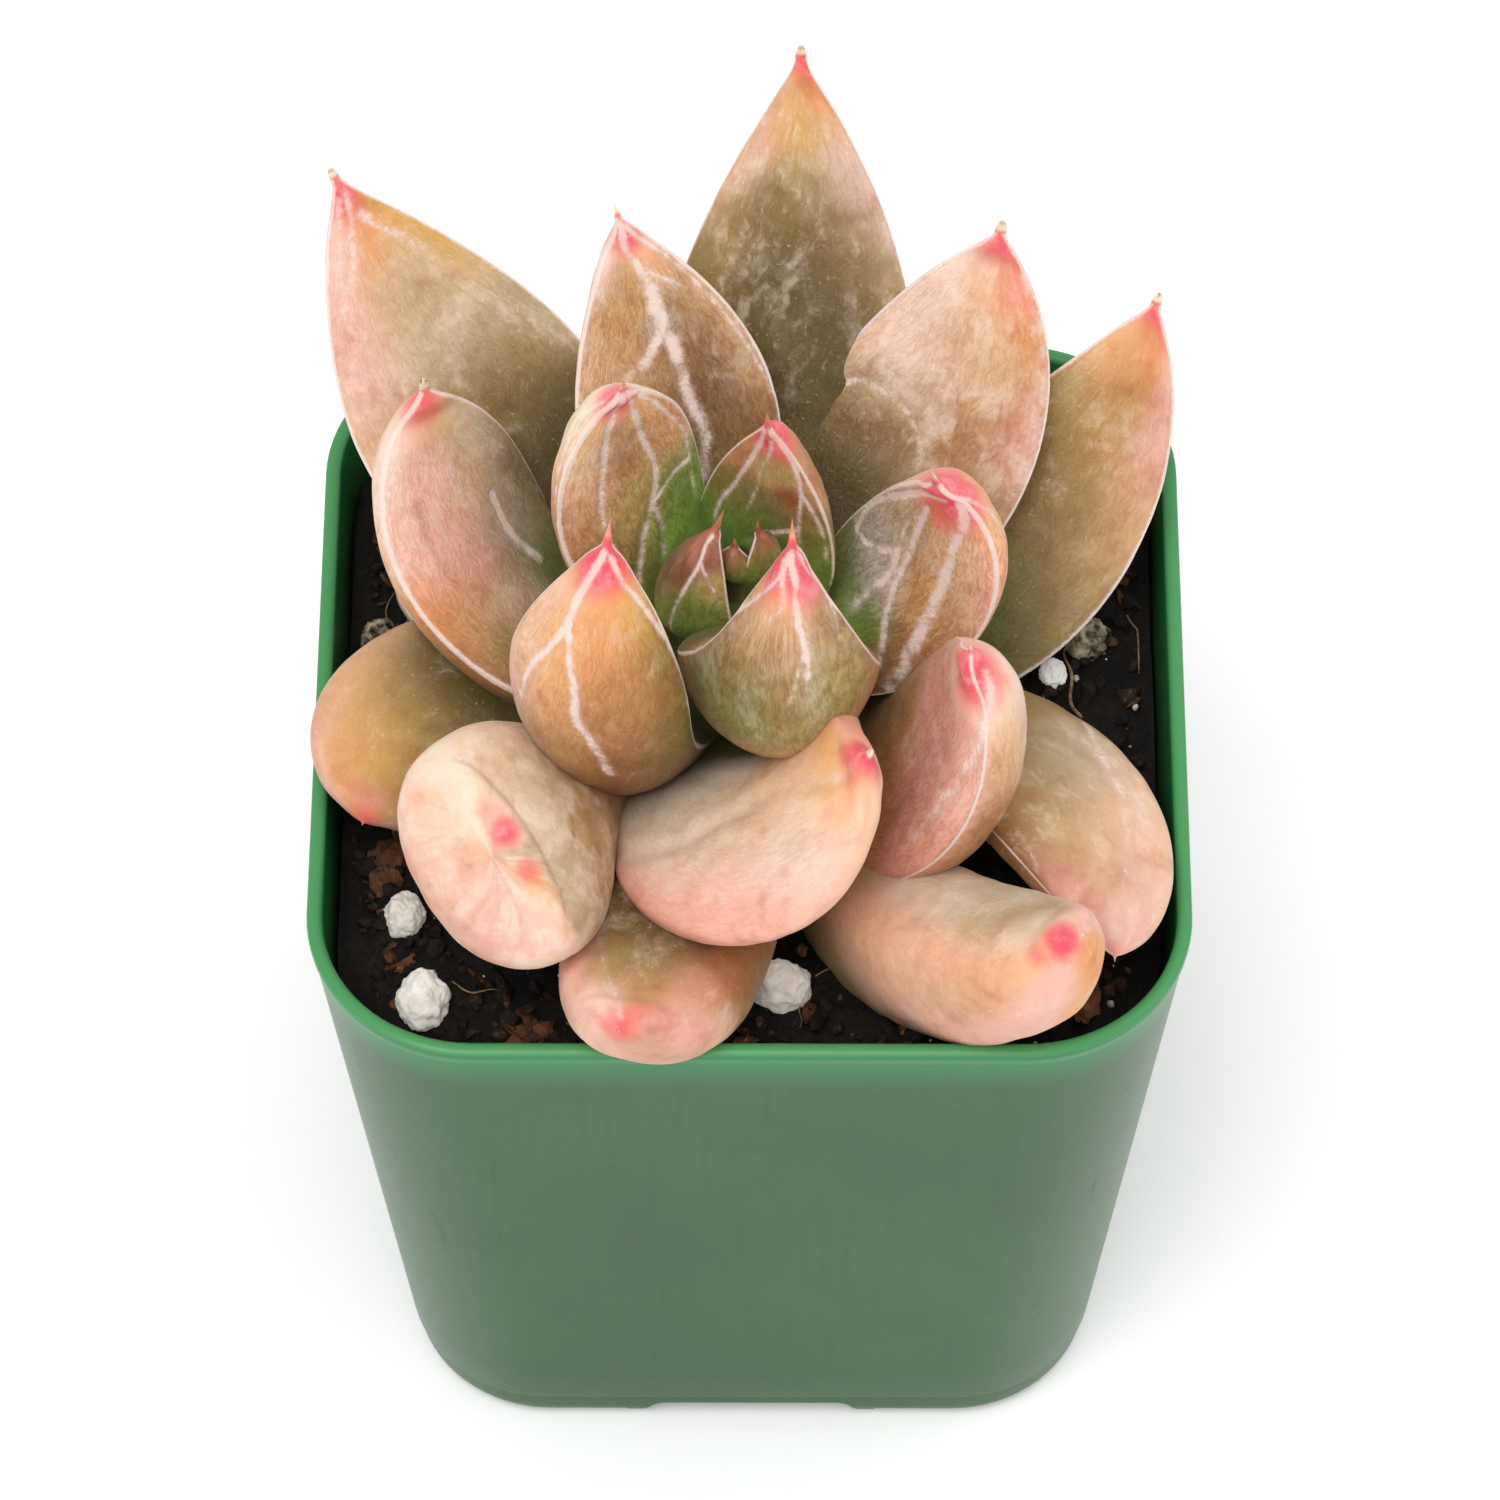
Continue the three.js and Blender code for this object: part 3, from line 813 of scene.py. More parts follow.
    @staticmethod
    def eased(knots: Array, values: Array, places: Array) -> Array:
        """A smooth curve through values at knots, read at places.

        Args:
            knots: Where the values are given, rising.
            values: The values there.
            places: Where the curve is read.

        Returns:
            One value for each place.
        """
        slopes = np.gradient(values, knots)
        index = np.clip(np.searchsorted(knots, places) - 1, 0, len(knots) - 2)
        span = knots[index + 1] - knots[index]
        t = (places - knots[index]) / span
        a, b = values[index], values[index + 1]
        return (
            (2 * t**3 - 3 * t**2 + 1) * a
            + (t**3 - 2 * t**2 + t) * span * slopes[index]
            + (3 * t**2 - 2 * t**3) * b
            + (t**3 - t**2) * span * slopes[index + 1]
        )

    def pigment(self, leaf: Leaf, along: Array, around: Array) -> Array:
        """The skin's own colour: the run from base to tip, with the washes laid into it.

        Args:
            leaf: The leaf.
            along: Places along it.
            around: Places around it.

        Returns:
            Linear colours, one row for each place.
        """
        ramp = np.array([tone.linear for tone in leaf.base])
        stops = np.linspace(0.08, 0.98, len(ramp))
        weight = np.full(len(along), 0.05)
        total = np.column_stack([np.interp(along, stops, ramp[:, axis]) for axis in range(3)]) * weight[:, None]
        for wash in leaf.washes:
            apart = (around - wash.around + 0.5) % 1 - 0.5
            near = np.exp(-(((along - wash.along) / wash.reach) ** 2) - (apart / wash.spread) ** 2)
            weight += near
            total += near[:, None] * wash.tone.linear
        return total / weight[:, None]

    def bare(self, leaf: Leaf, rows: Array, seed: int) -> Skin:
        """A leaf's skin with its pigment and the painted shade near its stem, before anything is marked on it.

        Args:
            leaf: The leaf.
            rows: The along value of each row of points.
            seed: Picks its waviness.

        Returns:
            The skin.
        """
        along = np.repeat(rows, self.columns)
        around = np.tile(np.arange(self.columns) / self.columns, self.rows)
        points = self.surface(leaf, along, around)
        # Painted shade: the pigment darkens towards the stem.
        shade = (1 - PAINTED_STEM_SHADE[leaf.ring] * (1 - smooth(0.15, 0.62, along)))[:, None]
        cast = COOL if leaf.ring in ("inner", "heart") else 1.0
        # The gain is painted light and shade: it brightens or darkens the whole leaf's pigment.
        colour = np.minimum(self.pigment(leaf, along, around) * leaf.gain * cast, 0.93) * shade
        bloom, blush, lift = (np.zeros(len(points)) for _ in range(3))
        return Skin(leaf, seed, points, along, around, colour, bloom, blush, lift)

    def mark(self, skin: Skin) -> None:
        """Draws the pale margins and the strokes on a skin.

        Args:
            skin: The skin, which is changed.
        """
        leaf, points = skin.leaf, skin.points
        for side in (0.0, 0.5) if leaf.margin else ():
            edge, _ = self.distance(leaf, points, tuple((along, side) for along in (0.12, 0.4, 0.7, 0.96, 1.0)))
            near = np.exp(-((edge / (leaf.margin * 0.55)) ** 2)) * smooth(0.1, 0.4, skin.along)
            skin.bloom = np.maximum(skin.bloom, near)
        for stroke in leaf.strokes:
            away, run = self.distance(leaf, points, stroke.path)
            away /= 1 + (stroke.flare - 1) * run
            faint = 1 - 0.25 * run - 0.2 * np.abs(ripple(points, 1.9, skin.seed + 7))
            near = np.exp(-((away / (stroke.width * 0.8)) ** 2)) * stroke.strength * faint
            if stroke.tone is None:
                raised = np.exp(-((away / (stroke.width * 0.9)) ** 2)) * stroke.lift
                skin.bloom = np.maximum(skin.bloom, near)
                skin.lift = np.maximum(skin.lift, raised)
            else:
                sunk = np.exp(-((away / stroke.width) ** 2)) * stroke.lift * 0.6
                skin.colour = skin.colour * (1 - near[:, None]) + stroke.tone.linear * near[:, None]
                skin.lift = np.minimum(skin.lift, -sunk)

    def redden(self, skin: Skin) -> None:
        """Reddens a skin at its flushes and colours the point of its tip.

        Args:
            skin: The skin, which is changed.
        """
        leaf, along, over = skin.leaf, skin.along, skin.leaf.end - 1
        for flush in leaf.flushes:
            middle = self.surface(leaf, np.array([flush.along]), np.array([flush.around]))
            away = np.linalg.norm(skin.points - middle, axis=1) / flush.reach
            skin.blush = np.maximum(skin.blush, np.exp(-(away**2)) * flush.strength)
        tipped = smooth(1 + over * 0.15, 1 + over * (0.25 if leaf.dried else 0.6), along)[:, None]
        cap = np.tile(leaf.cap.linear, (len(along), 1))
        if leaf.dried:
            crown = smooth(0.1, 0.7, ripple(skin.points, 0.45, skin.seed + 90))
            crown = crown * smooth(1 + over * 0.5, leaf.end, along)
            ring = np.exp(-(((along - 1 - over * 0.2) / (over * 0.12)) ** 2)) * 0.6
            dark = np.maximum(crown, ring)[:, None]
            cap = cap * (1 - dark) + Tone.UMBER.linear * 0.4 * dark
        skin.colour = skin.colour * (1 - tipped) + cap * tipped
        skin.blush *= 1 - 0.85 * tipped[:, 0]
        skin.bloom *= 1 - tipped[:, 0]

    def raised(self, skin: Skin) -> Array:
        """A skin's points, moved out by its waviness and by what is drawn on it.

        Args:
            skin: The skin.

        Returns:
            The moved points.
        """
        points = skin.points
        grid = points.reshape(self.rows, self.columns, 3)
        wrap = np.roll(grid, -1, 1) - np.roll(grid, 1, 1)
        out = np.cross(wrap, np.gradient(grid, axis=0)).reshape(-1, 3)
        out /= np.maximum(np.linalg.norm(out, axis=1, keepdims=True), 1e-9)
        settle = smooth(0, 0.15, skin.along) * (1 - smooth(self.tip_from, 0.99, skin.along))
        calm = np.abs(np.sin(2 * np.pi * skin.around)) ** 0.6
        wave = 0.1 * ripple(points, 7.5, skin.seed) + 0.035 * ripple(points, 2.4, skin.seed + 50)
        return points + out * ((wave * calm + skin.lift) * settle)[:, None]

    def build(self, leaf: Leaf, seed: int) -> bpy.types.Object:
        """Makes one leaf.

        Args:
            leaf: The leaf.
            seed: Picks its waviness.

        Returns:
            The object.
        """
        even = np.linspace(0, 1, self.rows)
        body = 1 - self.tip_rows
        close = self.tip_from + (even - body) / self.tip_rows * (leaf.end - self.tip_from - 0.0005)
        rows = np.where(even < body, even / body * self.tip_from, close)
        skin = self.bare(leaf, rows, seed)
        self.mark(skin)
        self.redden(skin)
        ends = self.surface(leaf, np.array([0.0, leaf.end]), np.array([0.25, 0.25]))
        faces = tube_faces(self.rows, self.columns)
        made = make_mesh("visual_" + leaf.node, np.vstack([self.raised(skin), ends]), faces, self.skins[leaf.ring], 80)

        along, turn = skin.along, 2 * np.pi * skin.around
        across = np.cos(turn) * (leaf.width / 2)
        space = np.column_stack([across, along * leaf.length, np.sin(turn) * 2 + seed * 13.7])
        lined = smooth(0.12, 0.4, along) * (1 - smooth(0.82, 0.98, along)) * leaf.streak
        film = leaf.film * smooth(0.3, 0.62, along)
        self.attribute(made, "leaf_space", "FLOAT_VECTOR", space)
        self.attribute(made, "pigment", "FLOAT_COLOR", np.column_stack([skin.colour, np.ones(len(along))]))
        for name, values in (("bloom", skin.bloom), ("blush", skin.blush), ("lined", lined), ("film", film)):
            self.attribute(made, name, "FLOAT", values)
        self.unwrap(made, leaf.end, rows)
        return made

    def unwrap(self, made: bpy.types.Object, end: float, rows: Array) -> None:
        """Lays the skin out flat for baking, row by row.

        Args:
            made: The leaf's object.
            end: The most that along reaches.
            rows: The along value of each row.
        """
        mesh = made.data
        layer = mesh.uv_layers.new(name="OFBake")
        corners = np.zeros(len(mesh.loops), np.int32)
        mesh.loops.foreach_get("vertex_index", corners)
        body = self.rows * self.columns
        spread = (np.append(np.repeat(rows, self.columns), [0, end]) / end) * 0.98 + 0.01
        column = np.append(np.tile(np.arange(self.columns), self.rows), [0, 0])[corners].astype(float)
        starts = np.zeros(len(mesh.polygons), np.int32)
        counts = np.zeros(len(mesh.polygons), np.int32)
        mesh.polygons.foreach_get("loop_start", starts)
        mesh.polygons.foreach_get("loop_total", counts)
        owner = np.repeat(np.arange(len(starts)), counts)
        low = np.full(len(starts), 1e9)
        high = np.full(len(starts), -1e9)
        real = corners < body
        np.minimum.at(low, owner[real], column[real])
        np.maximum.at(high, owner[real], column[real])
        crossing = (high - low > self.columns / 2)[owner] & (column == 0) & real
        column[crossing] = self.columns
        middle = (low + high)[owner] / 2
        column[~real] = middle[~real]
        uv = np.column_stack([column / self.columns * 0.98 + 0.01, spread[corners]])
        layer.data.foreach_set("uv", uv.astype(np.float32).ravel())

    @staticmethod
    def attribute(made: bpy.types.Object, name: str, kind: str, values: Array) -> None:
        """Stores one value, vector or colour for each point of a leaf, and for its two end points.

        Args:
            made: The leaf's object.
            name: The attribute's name.
            kind: Blender's type of attribute.
            values: One row for each point of the skin.
        """
        layer = made.data.attributes.new(name, kind, "POINT")
        key = {"FLOAT": "value", "FLOAT_VECTOR": "vector", "FLOAT_COLOR": "color"}[kind]
        layer.data.foreach_set(key, np.concatenate([values, values[[0, -1]]]).astype(np.float32).ravel())

    def dress(self) -> None:
        """Builds every leaf and seats it on the frame."""
        outer = LeafFinish("leaf_outer_skin", streak=0.5, mottle=1.0, shine=0.5).build()
        self.skins = {
            "low": outer,
            "outer": outer,
            "middle": LeafFinish("leaf_middle_skin", streak=0.75, mottle=0.95, shine=0.47).build(),
            "inner": LeafFinish("leaf_inner_skin", streak=1.2, mottle=0.6, shine=0.45).build(),
            "heart": LeafFinish("leaf_heart_skin", streak=0.9, mottle=0.3, shine=0.42).build(),
        }
        for seed, leaf in enumerate(LEAVES):
            ring = "outer" if leaf.ring == "low" else leaf.ring
            place_piece(self.build(leaf, seed + 1), "leaf_" + ring, leaf.node)


# ---- The plant's leaves, from the heart outwards ----
T, W, S, F = Tone, Wash, Stroke, Flush
YOUNG = (T.FRESH, T.FRESH, T.GREEN, T.OLIVE, T.RUSSET)
HEART = (T.FRESH, T.GREEN, T.OLIVE, T.TAN, T.CLAY)
INNER = (T.GREEN, T.OLIVE, T.TAN, T.SAND, T.PEACH)
KEEL = S(((0.3, 0.75), (0.6, 0.74), (0.85, 0.75), (0.97, 0.75)), 0.6, 0.8)

LEAVES = (
    Leaf(
        "leaf_heart_front", 255, 68, 92, 3.6, 2.8, 1.5, 11.4, crest=0.4, neck=0.6, taper=1.8, blunt=0.95,
        point=0.9, point_width=0.5, cap=T.CLAY, gain=1.3, margin=0.16, base=YOUNG,
    ),
    Leaf(
        "leaf_heart_right", 330, 72, 95, 5, 3.4, 1.9, 10.8, crest=0.4, neck=0.6, taper=1.8, blunt=0.95,
        point=1.2, point_width=0.6, cap=T.CLAY, gain=1.3, margin=0.18, base=YOUNG,
    ),
    Leaf(
        "leaf_heart_left", 216, 48, 125, 9.8, 5.6, 4, 7.2, swing=12, roll=-2, crest=0.4, neck=0.6, taper=1.8,
        blunt=0.9, point=1.5, cap=T.CLAY, gain=1.5, margin=0.26,
        base=(T.FRESH, T.GREEN, T.OLIVE, T.UMBER, T.RUSSET),
        washes=(
            W(0.9, 0.66, T.RUSSET), W(0.6, 0.62, T.GREEN), W(0.45, 0.7, T.FRESH),
            W(0.7, 0.57, T.KHAKI, 0.06, 0.05), W(0.8, 0.75, T.UMBER, 0.06),
        ),
        strokes=(
            S(((0.97, 0.64), (0.86, 0.64), (0.73, 0.67), (0.58, 0.7), (0.4, 0.72)), 0.26, 0.9),
            S(((0.86, 0.64), (0.73, 0.57), (0.62, 0.54)), 0.24, 0.8),
        ),
    ),
    Leaf(
        "leaf_heart_back", 45, 74, 97, 16.5, 9.6, 3.4, 6.8, swing=-4, roll=15, crest=0.3, neck=0.8, taper=1.8,
        blunt=1, point=1.5, point_width=0.9, cap=T.CORAL, gain=1.35, margin=0.3, base=HEART,
        washes=(
            W(0.93, 0.24, T.CORAL, 0.04), W(0.77, 0.4, T.CLAY), W(0.53, 0.34, T.OLIVE), W(0.9, 0.06, T.CLAY),
            W(0.78, 0.2, T.KHAKI, 0.06), W(0.65, 0.17, T.RUSSET, 0.04, 0.03), W(0.44, 0.28, T.GREEN),
            W(0.38, 0.04, T.GREEN), W(0.5, 0.15, T.OLIVE), W(0.77, 0.94, T.CLAY),
            W(0.25, 0.25, T.FRESH, 0.16, 0.14),
        ),
        strokes=(
            S(((0.98, 0.33), (0.83, 0.33), (0.59, 0.35), (0.33, 0.38), (0.19, 0.36)), 0.36, 0.9),
            S(((0.99, 0.05), (0.85, 0.07), (0.69, 0.12), (0.49, 0.16), (0.39, 0.16)), 0.36, 0.9),
            S(((0.69, 0.12), (0.57, 0.08), (0.38, 0.07)), 0.36, 0.8),
            S(((0.49, 0.16), (0.42, 0.22), (0.3, 0.28)), 0.4, 0.8),
            S(((0.93, 0.2), (0.78, 0.27), (0.62, 0.28), (0.46, 0.3)), 0.34, 0.7),
        ),
        flushes=(F(0.98, 0.24, 2.9, 1.1),),
    ),
    Leaf(
        "leaf_inner_front", 291, 19, 117, 23.2, 12.2, 8.1, 7.7, swing=-21, roll=-14, neck=0.5, crest=0.3,
        taper=1.65, blunt=0.85, belly=0.45, root=0.7, haste=1.15, point=1.9, point_width=1.0, cap=T.CORAL,
        gain=1.25, margin=0.3, base=INNER,
        washes=(
            W(0.95, 0.63, T.ROSE, 0.04), W(0.91, 0.86, T.SAND), W(0.89, 0.7, T.SAND), W(0.78, 0.9, T.TAN),
            W(0.67, 0.94, T.BROWN), W(0.81, 0.73, T.TAN), W(0.76, 0.75, T.BROWN), W(0.71, 0.8, T.OLIVE),
            W(0.67, 0.84, T.GREEN), W(0.78, 0.57, T.CLAY), W(0.71, 0.59, T.OCHRE), W(0.84, 0.51, T.OLIVE),
            W(0.71, 0.66, T.SAGE, 0.09, 0.025), W(0.59, 0.95, T.OLIVE), W(0.7, 0.59, T.GREEN),
            W(0.71, 0.64, T.FRESH), W(0.57, 0.93, T.GREEN),
        ),
        strokes=(
            S(((0.99, 0.73), (0.94, 0.66), (0.89, 0.67), (0.82, 0.66), (0.76, 0.67)), 0.42, 0.95, flare=1.4),
            S(((0.82, 0.66), (0.77, 0.7), (0.71, 0.73)), 0.4, 0.75),
            S(((0.98, 0.58), (0.9, 0.51), (0.83, 0.52), (0.75, 0.57)), 0.38, 0.7),
            S(((0.98, 0.75), (0.9, 0.91), (0.74, 1), (0.44, 0.04)), 0.42, 0.8),
            S(((0.98, 0.82), (0.92, 0.74), (0.88, 0.81)), 0.5, 0.7),
        ),
        flushes=(F(0.98, 0.73, 3.5, 1.15),),
    ),
    Leaf(
        "leaf_inner_left", 171, 46, 101, 22, 11.7, 4.4, 6.3, swing=-24, roll=-19, taper=2.15, blunt=0.9,
        point=1.3, point_width=1.1, cap=T.CORAL, gain=1.6, margin=0.5, base=INNER,
        washes=(
            W(0.97, 0.4, T.ROSE, 0.03), W(0.9, 0.42, T.TAN, 0.05), W(0.74, 0.39, T.SAND), W(0.6, 0.42, T.CLAY),
            W(0.54, 0.25, T.KHAKI), W(0.34, 0.17, T.FRESH), W(0.88, 0.17, T.OCHRE, 0.06, 0.06),
            W(0.79, 0.15, T.OCHRE), W(0.62, 0.1, T.TAN), W(0.65, 0.48, T.BROWN), W(0.45, 0.38, T.OLIVE),
            W(0.75, 0.26, T.BROWN), W(0.48, 0.12, T.GREEN), W(0.3, 0.4, T.GREEN), W(0.4, 0.1, T.FRESH),
            W(0.5, 0.19, T.FRESH, 0.06, 0.05),
        ),
        strokes=(
            S(((1, 0.3), (0.91, 0.31), (0.77, 0.31), (0.6, 0.33), (0.46, 0.34)), 0.5, 0.85),
            S(
                (
                    (0.99, 0.13), (0.9, 0.19), (0.77, 0.2), (0.58, 0.2), (0.48, 0.23), (0.4, 0.28),
                    (0.31, 0.34),
                ),
                0.42, 0.95, flare=1.5,
            ),
            S(((0.93, 0.09), (0.76, 0.1), (0.6, 0.08), (0.46, 0.1), (0.34, 0.12)), 0.42, 0.8),
            S(((0.48, 0.23), (0.38, 0.23), (0.3, 0.26)), 0.5, 0.7),
            S(((0.96, 0.59), (0.88, 0.58), (0.79, 0.56), (0.66, 0.53)), 0.4, 0.7),
            S(((0.48, 0.23), (0.5, 0.16), (0.47, 0.09)), 0.4, 0.8),
        ),
        flushes=(F(0.99, 0.38, 2.3, 1.1),),
    ),
    Leaf(
        "leaf_inner_right", 347, 1, 108, 21.3, 11.4, 5.5, 5.6, swing=43, roll=30, crest=0.45, taper=2.2,
        point=1.9, point_width=1.0, cap=T.BLUSH, gain=1.25, base=INNER,
        washes=(
            W(0.93, 0.99, T.ROSE, 0.05), W(0.48, 0.32, T.MIST), W(0.76, 0.17, T.SAND), W(0.62, 0.11, T.TAN),
            W(0.55, 0.23, T.OCHRE), W(0.4, 0.1, T.CLAY), W(0.33, 0.1, T.BROWN), W(0.78, 0.98, T.ORANGE),
            W(0.68, 0.03, T.SALMON), W(0.87, 0.94, T.APRICOT), W(0.5, 0.4, T.SAGE), W(0.56, 0.37, T.MIST),
            W(0.7, 0.36, T.SAGE), W(0.82, 0.38, T.SAGE), W(0.45, 0.34, T.MIST), W(0.4, 0.4, T.GREEN),
            W(0.3, 0.22, T.FRESH), W(0.72, 0.36, T.KHAKI), W(0.33, 0.34, T.GREEN), W(0.82, 0.28, T.OCHRE),
            W(0.5, 0.02, T.OCHRE),
        ),
        strokes=(
            S(
                (
                    (0.95, 0.2), (0.92, 0.35), (0.77, 0.42), (0.51, 0.43), (0.45, 0.4), (0.52, 0.33),
                    (0.6, 0.3),
                ),
                0.5, 0.95,
            ),
            S(((0.6, 0.3), (0.5, 0.28), (0.37, 0.27), (0.31, 0.26)), 0.5, 0.85, flare=1.3),
            S(((0.87, 0.29), (0.74, 0.29), (0.64, 0.28), (0.45, 0.24), (0.28, 0.09)), 0.4, 0.9, flare=1.5),
            S(
                (
                    (0.94, 0.09), (0.81, 0.18), (0.66, 0.19), (0.52, 0.17), (0.41, 0.13), (0.33, 0.07),
                ),
                0.5, 1.0, flare=1.9,
            ),
            S(((0.97, 0.99), (0.89, 0.92), (0.81, 0.9), (0.72, 0.93)), 0.4, 0.7),
            S(((0.6, 0.3), (0.72, 0.32), (0.88, 0.29)), 0.36, 0.7),
        ),
        flushes=(F(0.97, 0.03, 3.5, 1.1),),
    ),
    Leaf(
        "leaf_inner_back", 111, 47, 56, 26.5, 13, 5, 4, swing=8, roll=1, taper=1.75, blunt=0.95, point=1.2,
        point_width=1.2, gain=1.1, margin=0.55, base=INNER,
        washes=(
            W(0.95, 0.26, T.ROSE, 0.03), W(0.91, 0.42, T.SHELL, 0.06), W(0.76, 0.36, T.OCHRE),
            W(0.66, 0.41, T.SAND), W(0.69, 0.18, T.BROWN), W(0.89, 0.16, T.APRICOT, 0.05),
            W(0.41, 0.24, T.OLIVE), W(0.73, 0.05, T.SAND), W(0.44, 0.13, T.BROWN),
            W(0.73, 0.24, T.SAGE, 0.03, 0.03), W(0.55, 0.2, T.UMBER), W(0.58, 0.3, T.TAN),
            W(0.86, 0.33, T.OCHRE), W(0.8, 0.1, T.OCHRE), W(0.56, 0.08, T.OCHRE), W(0.5, 0.4, T.TAN),
        ),
        strokes=(
            S(((0.99, 0.3), (0.94, 0.28), (0.88, 0.24), (0.82, 0.23)), 0.4, 0.95, flare=1.6),
            S(((0.82, 0.23), (0.76, 0.24), (0.7, 0.26), (0.66, 0.29), (0.64, 0.32)), 0.9, 0.9, flare=0.8),
            S(
                (
                    (0.78, 0.24), (0.7, 0.23), (0.61, 0.23), (0.54, 0.23), (0.45, 0.22), (0.35, 0.24),
                ),
                0.85, 0.9, flare=0.8,
            ),
            S(((0.97, 0.3), (0.92, 0.27), (0.86, 0.21), (0.8, 0.14)), 0.35, 0.75),
            S(((0.98, 0.2), (0.88, 0.09), (0.77, 0.08), (0.61, 0.07), (0.48, 0.05)), 0.45, 0.8),
        ),
        flushes=(F(0.98, 0.22, 2.0, 1.05),),
    ),
    Leaf(
        "leaf_middle_front_left", 225, 11, 117, 31, 11.5, 6.4, 0.5, swing=30, roll=6, crest=0.6, taper=1.95,
        blunt=0.85, haste=0.85, point=1.8, point_width=1.2, cap=T.ROSE, margin=0.4, film=0.35,
        washes=(
            W(0.96, 0.77, T.ROSE, 0.03), W(0.93, 0.65, T.APRICOT, 0.06), W(0.92, 0.9, T.PEACH, 0.06),
            W(0.76, 0.62, T.OCHRE), W(0.72, 0.81, T.APRICOT), W(0.78, 0.94, T.PEACH),
            W(0.92, 0.6, T.GOLD, 0.05, 0.05), W(0.78, 0.56, T.OLIVE), W(0.6, 0.56, T.GREEN),
            W(0.85, 0.71, T.ORANGE), W(0.63, 0.61, T.CLAY), W(0.71, 0.7, T.CLAY), W(0.61, 0.81, T.TAN),
            W(0.58, 0.88, T.MIST), W(0.52, 0.67, T.BROWN), W(0.84, 0.82, T.APRICOT),
            W(0.88, 0.6, T.GOLD, 0.07, 0.05), W(0.45, 0.75, T.BROWN), W(0.66, 0.93, T.BLUSH),
        ),
        strokes=(
            S(
                (
                    (0.99, 0.78), (0.93, 0.82), (0.88, 0.82), (0.82, 0.84), (0.76, 0.87), (0.66, 0.88),
                ),
                0.45, 0.95, flare=1.2,
            ),
            S(
                (
                    (0.88, 0.82), (0.83, 0.79), (0.76, 0.76), (0.7, 0.75), (0.65, 0.72), (0.55, 0.69),
                ),
                0.45, 0.95, flare=1.5,
            ),
            S(((0.98, 0.66), (0.9, 0.56), (0.79, 0.51), (0.64, 0.5), (0.4, 0.5)), 0.45, 0.85),
            S(((0.88, 0.95), (0.83, 0.94), (0.78, 0.92)), 0.22, 0.6),
        ),
        flushes=(F(0.98, 0.75, 2.6, 1.2),),
    ),
    Leaf(
        "leaf_middle_back_right", 40, 16, 56, 30.5, 14.5, 5.6, 1, swing=27, roll=17, taper=2.1, blunt=0.85,
        point=0.9, point_width=1.0, dried=True, margin=0.55, film=0.55,
        washes=(
            W(0.97, 0.22, T.ROSE, 0.03), W(0.91, 0.13, T.CORAL, 0.05, 0.06), W(0.84, 0.14, T.ORANGE),
            W(0.78, 0.41, T.SHELL), W(0.7, 0.32, T.SHELL), W(0.76, 0.28, T.SAND), W(0.65, 0.08, T.SALMON),
            W(0.6, 0.36, T.SAGE, 0.05), W(0.59, 0.31, T.OCHRE, 0.04), W(0.59, 0.2, T.CLAY),
            W(0.56, 0.34, T.BROWN), W(0.48, 0.34, T.OLIVE), W(0.38, 0.34, T.MOSS), W(0.69, 0.42, T.PEACH),
            W(0.87, 0.25, T.PEACH), W(0.72, 0.18, T.SAND), W(0.9, 0.38, T.SHELL), W(0.45, 0.15, T.TAN),
            W(0.35, 0.2, T.OLIVE),
        ),
        strokes=(
            S(((0.55, 0.41), (0.59, 0.39), (0.6, 0.35), (0.59, 0.3), (0.55, 0.26), (0.48, 0.23)), 0.5, 0.65),
            S(((0.58, 0.24), (0.52, 0.24), (0.45, 0.23)), 0.9, 0.45),
            S(((0.93, 0.02), (0.87, 0.04), (0.8, 0.06), (0.71, 0.06), (0.62, 0.06), (0.45, 0.06)), 1.1, 0.6),
        ),
        flushes=(F(0.99, 0.2, 2.0, 0.95), F(0.9, 0.12, 3.5, 0.5)),
    ),
    Leaf(
        "leaf_middle_left", 183, 7, 77, 29.5, 14, 6.5, -1, swing=-74, roll=14, taper=2.25, point=0.9,
        point_width=0.95, dried=True, gain=1.12, margin=0.5, film=0.42,
        washes=(
            W(0.98, 0.41, T.ROSE, 0.03), W(0.92, 0.46, T.SHELL), W(0.85, 0.46, T.SHELL), W(0.68, 0.39, T.BLUSH),
            W(0.81, 0.3, T.BLUSH), W(0.83, 0.11, T.SAGE), W(0.86, 0.17, T.SAGE), W(0.74, 0.12, T.MIST),
            W(0.64, 0.17, T.SAGE, 0.05, 0.04), W(0.67, 0.13, T.OLIVE), W(0.48, 0.2, T.GREEN),
            W(0.62, 0.31, T.SALMON), W(0.5, 0.36, T.SAND), W(0.62, 0.2, T.MIST),
            W(0.46, 0.27, T.SHELL, 0.05, 0.04), W(0.56, 0.43, T.ORANGE), W(0.47, 0.47, T.CLAY),
            W(0.9, 0.21, T.SAND), W(0.77, 0.4, T.BLUSH), W(0.7, 0.04, T.OLIVE), W(0.74, 0.2, T.SAND),
            W(0.38, 0.35, T.OLIVE),
        ),
        strokes=(
            S(((0.69, 0.2), (0.62, 0.21), (0.55, 0.21), (0.49, 0.2)), 0.55, 0.95, flare=1.3),
            S(((0.86, 0.27), (0.75, 0.25), (0.64, 0.25), (0.54, 0.29), (0.49, 0.35)), 1.2, 0.45),
            S(((0.78, 0.35), (0.7, 0.36), (0.6, 0.35)), 0.45, 0.45, T.CLAY),
            S(((0.91, 0.41), (0.88, 0.35), (0.84, 0.28)), 0.16, 0.5, T.CREAM),
        ),
        flushes=(F(0.99, 0.42, 2.3, 0.95),),
    ),
    Leaf(
        "leaf_middle_front", 243, 16, 66, 31.5, 17.6, 6.2, -2, swing=126, roll=9, neck=0.4, crest=0.65, blunt=1,
        root=0.5, swell=1.8, point=0.55, dried=True, gain=1.15, margin=0.0, plump=0.9, film=0.38, streak=0.5,
        washes=(
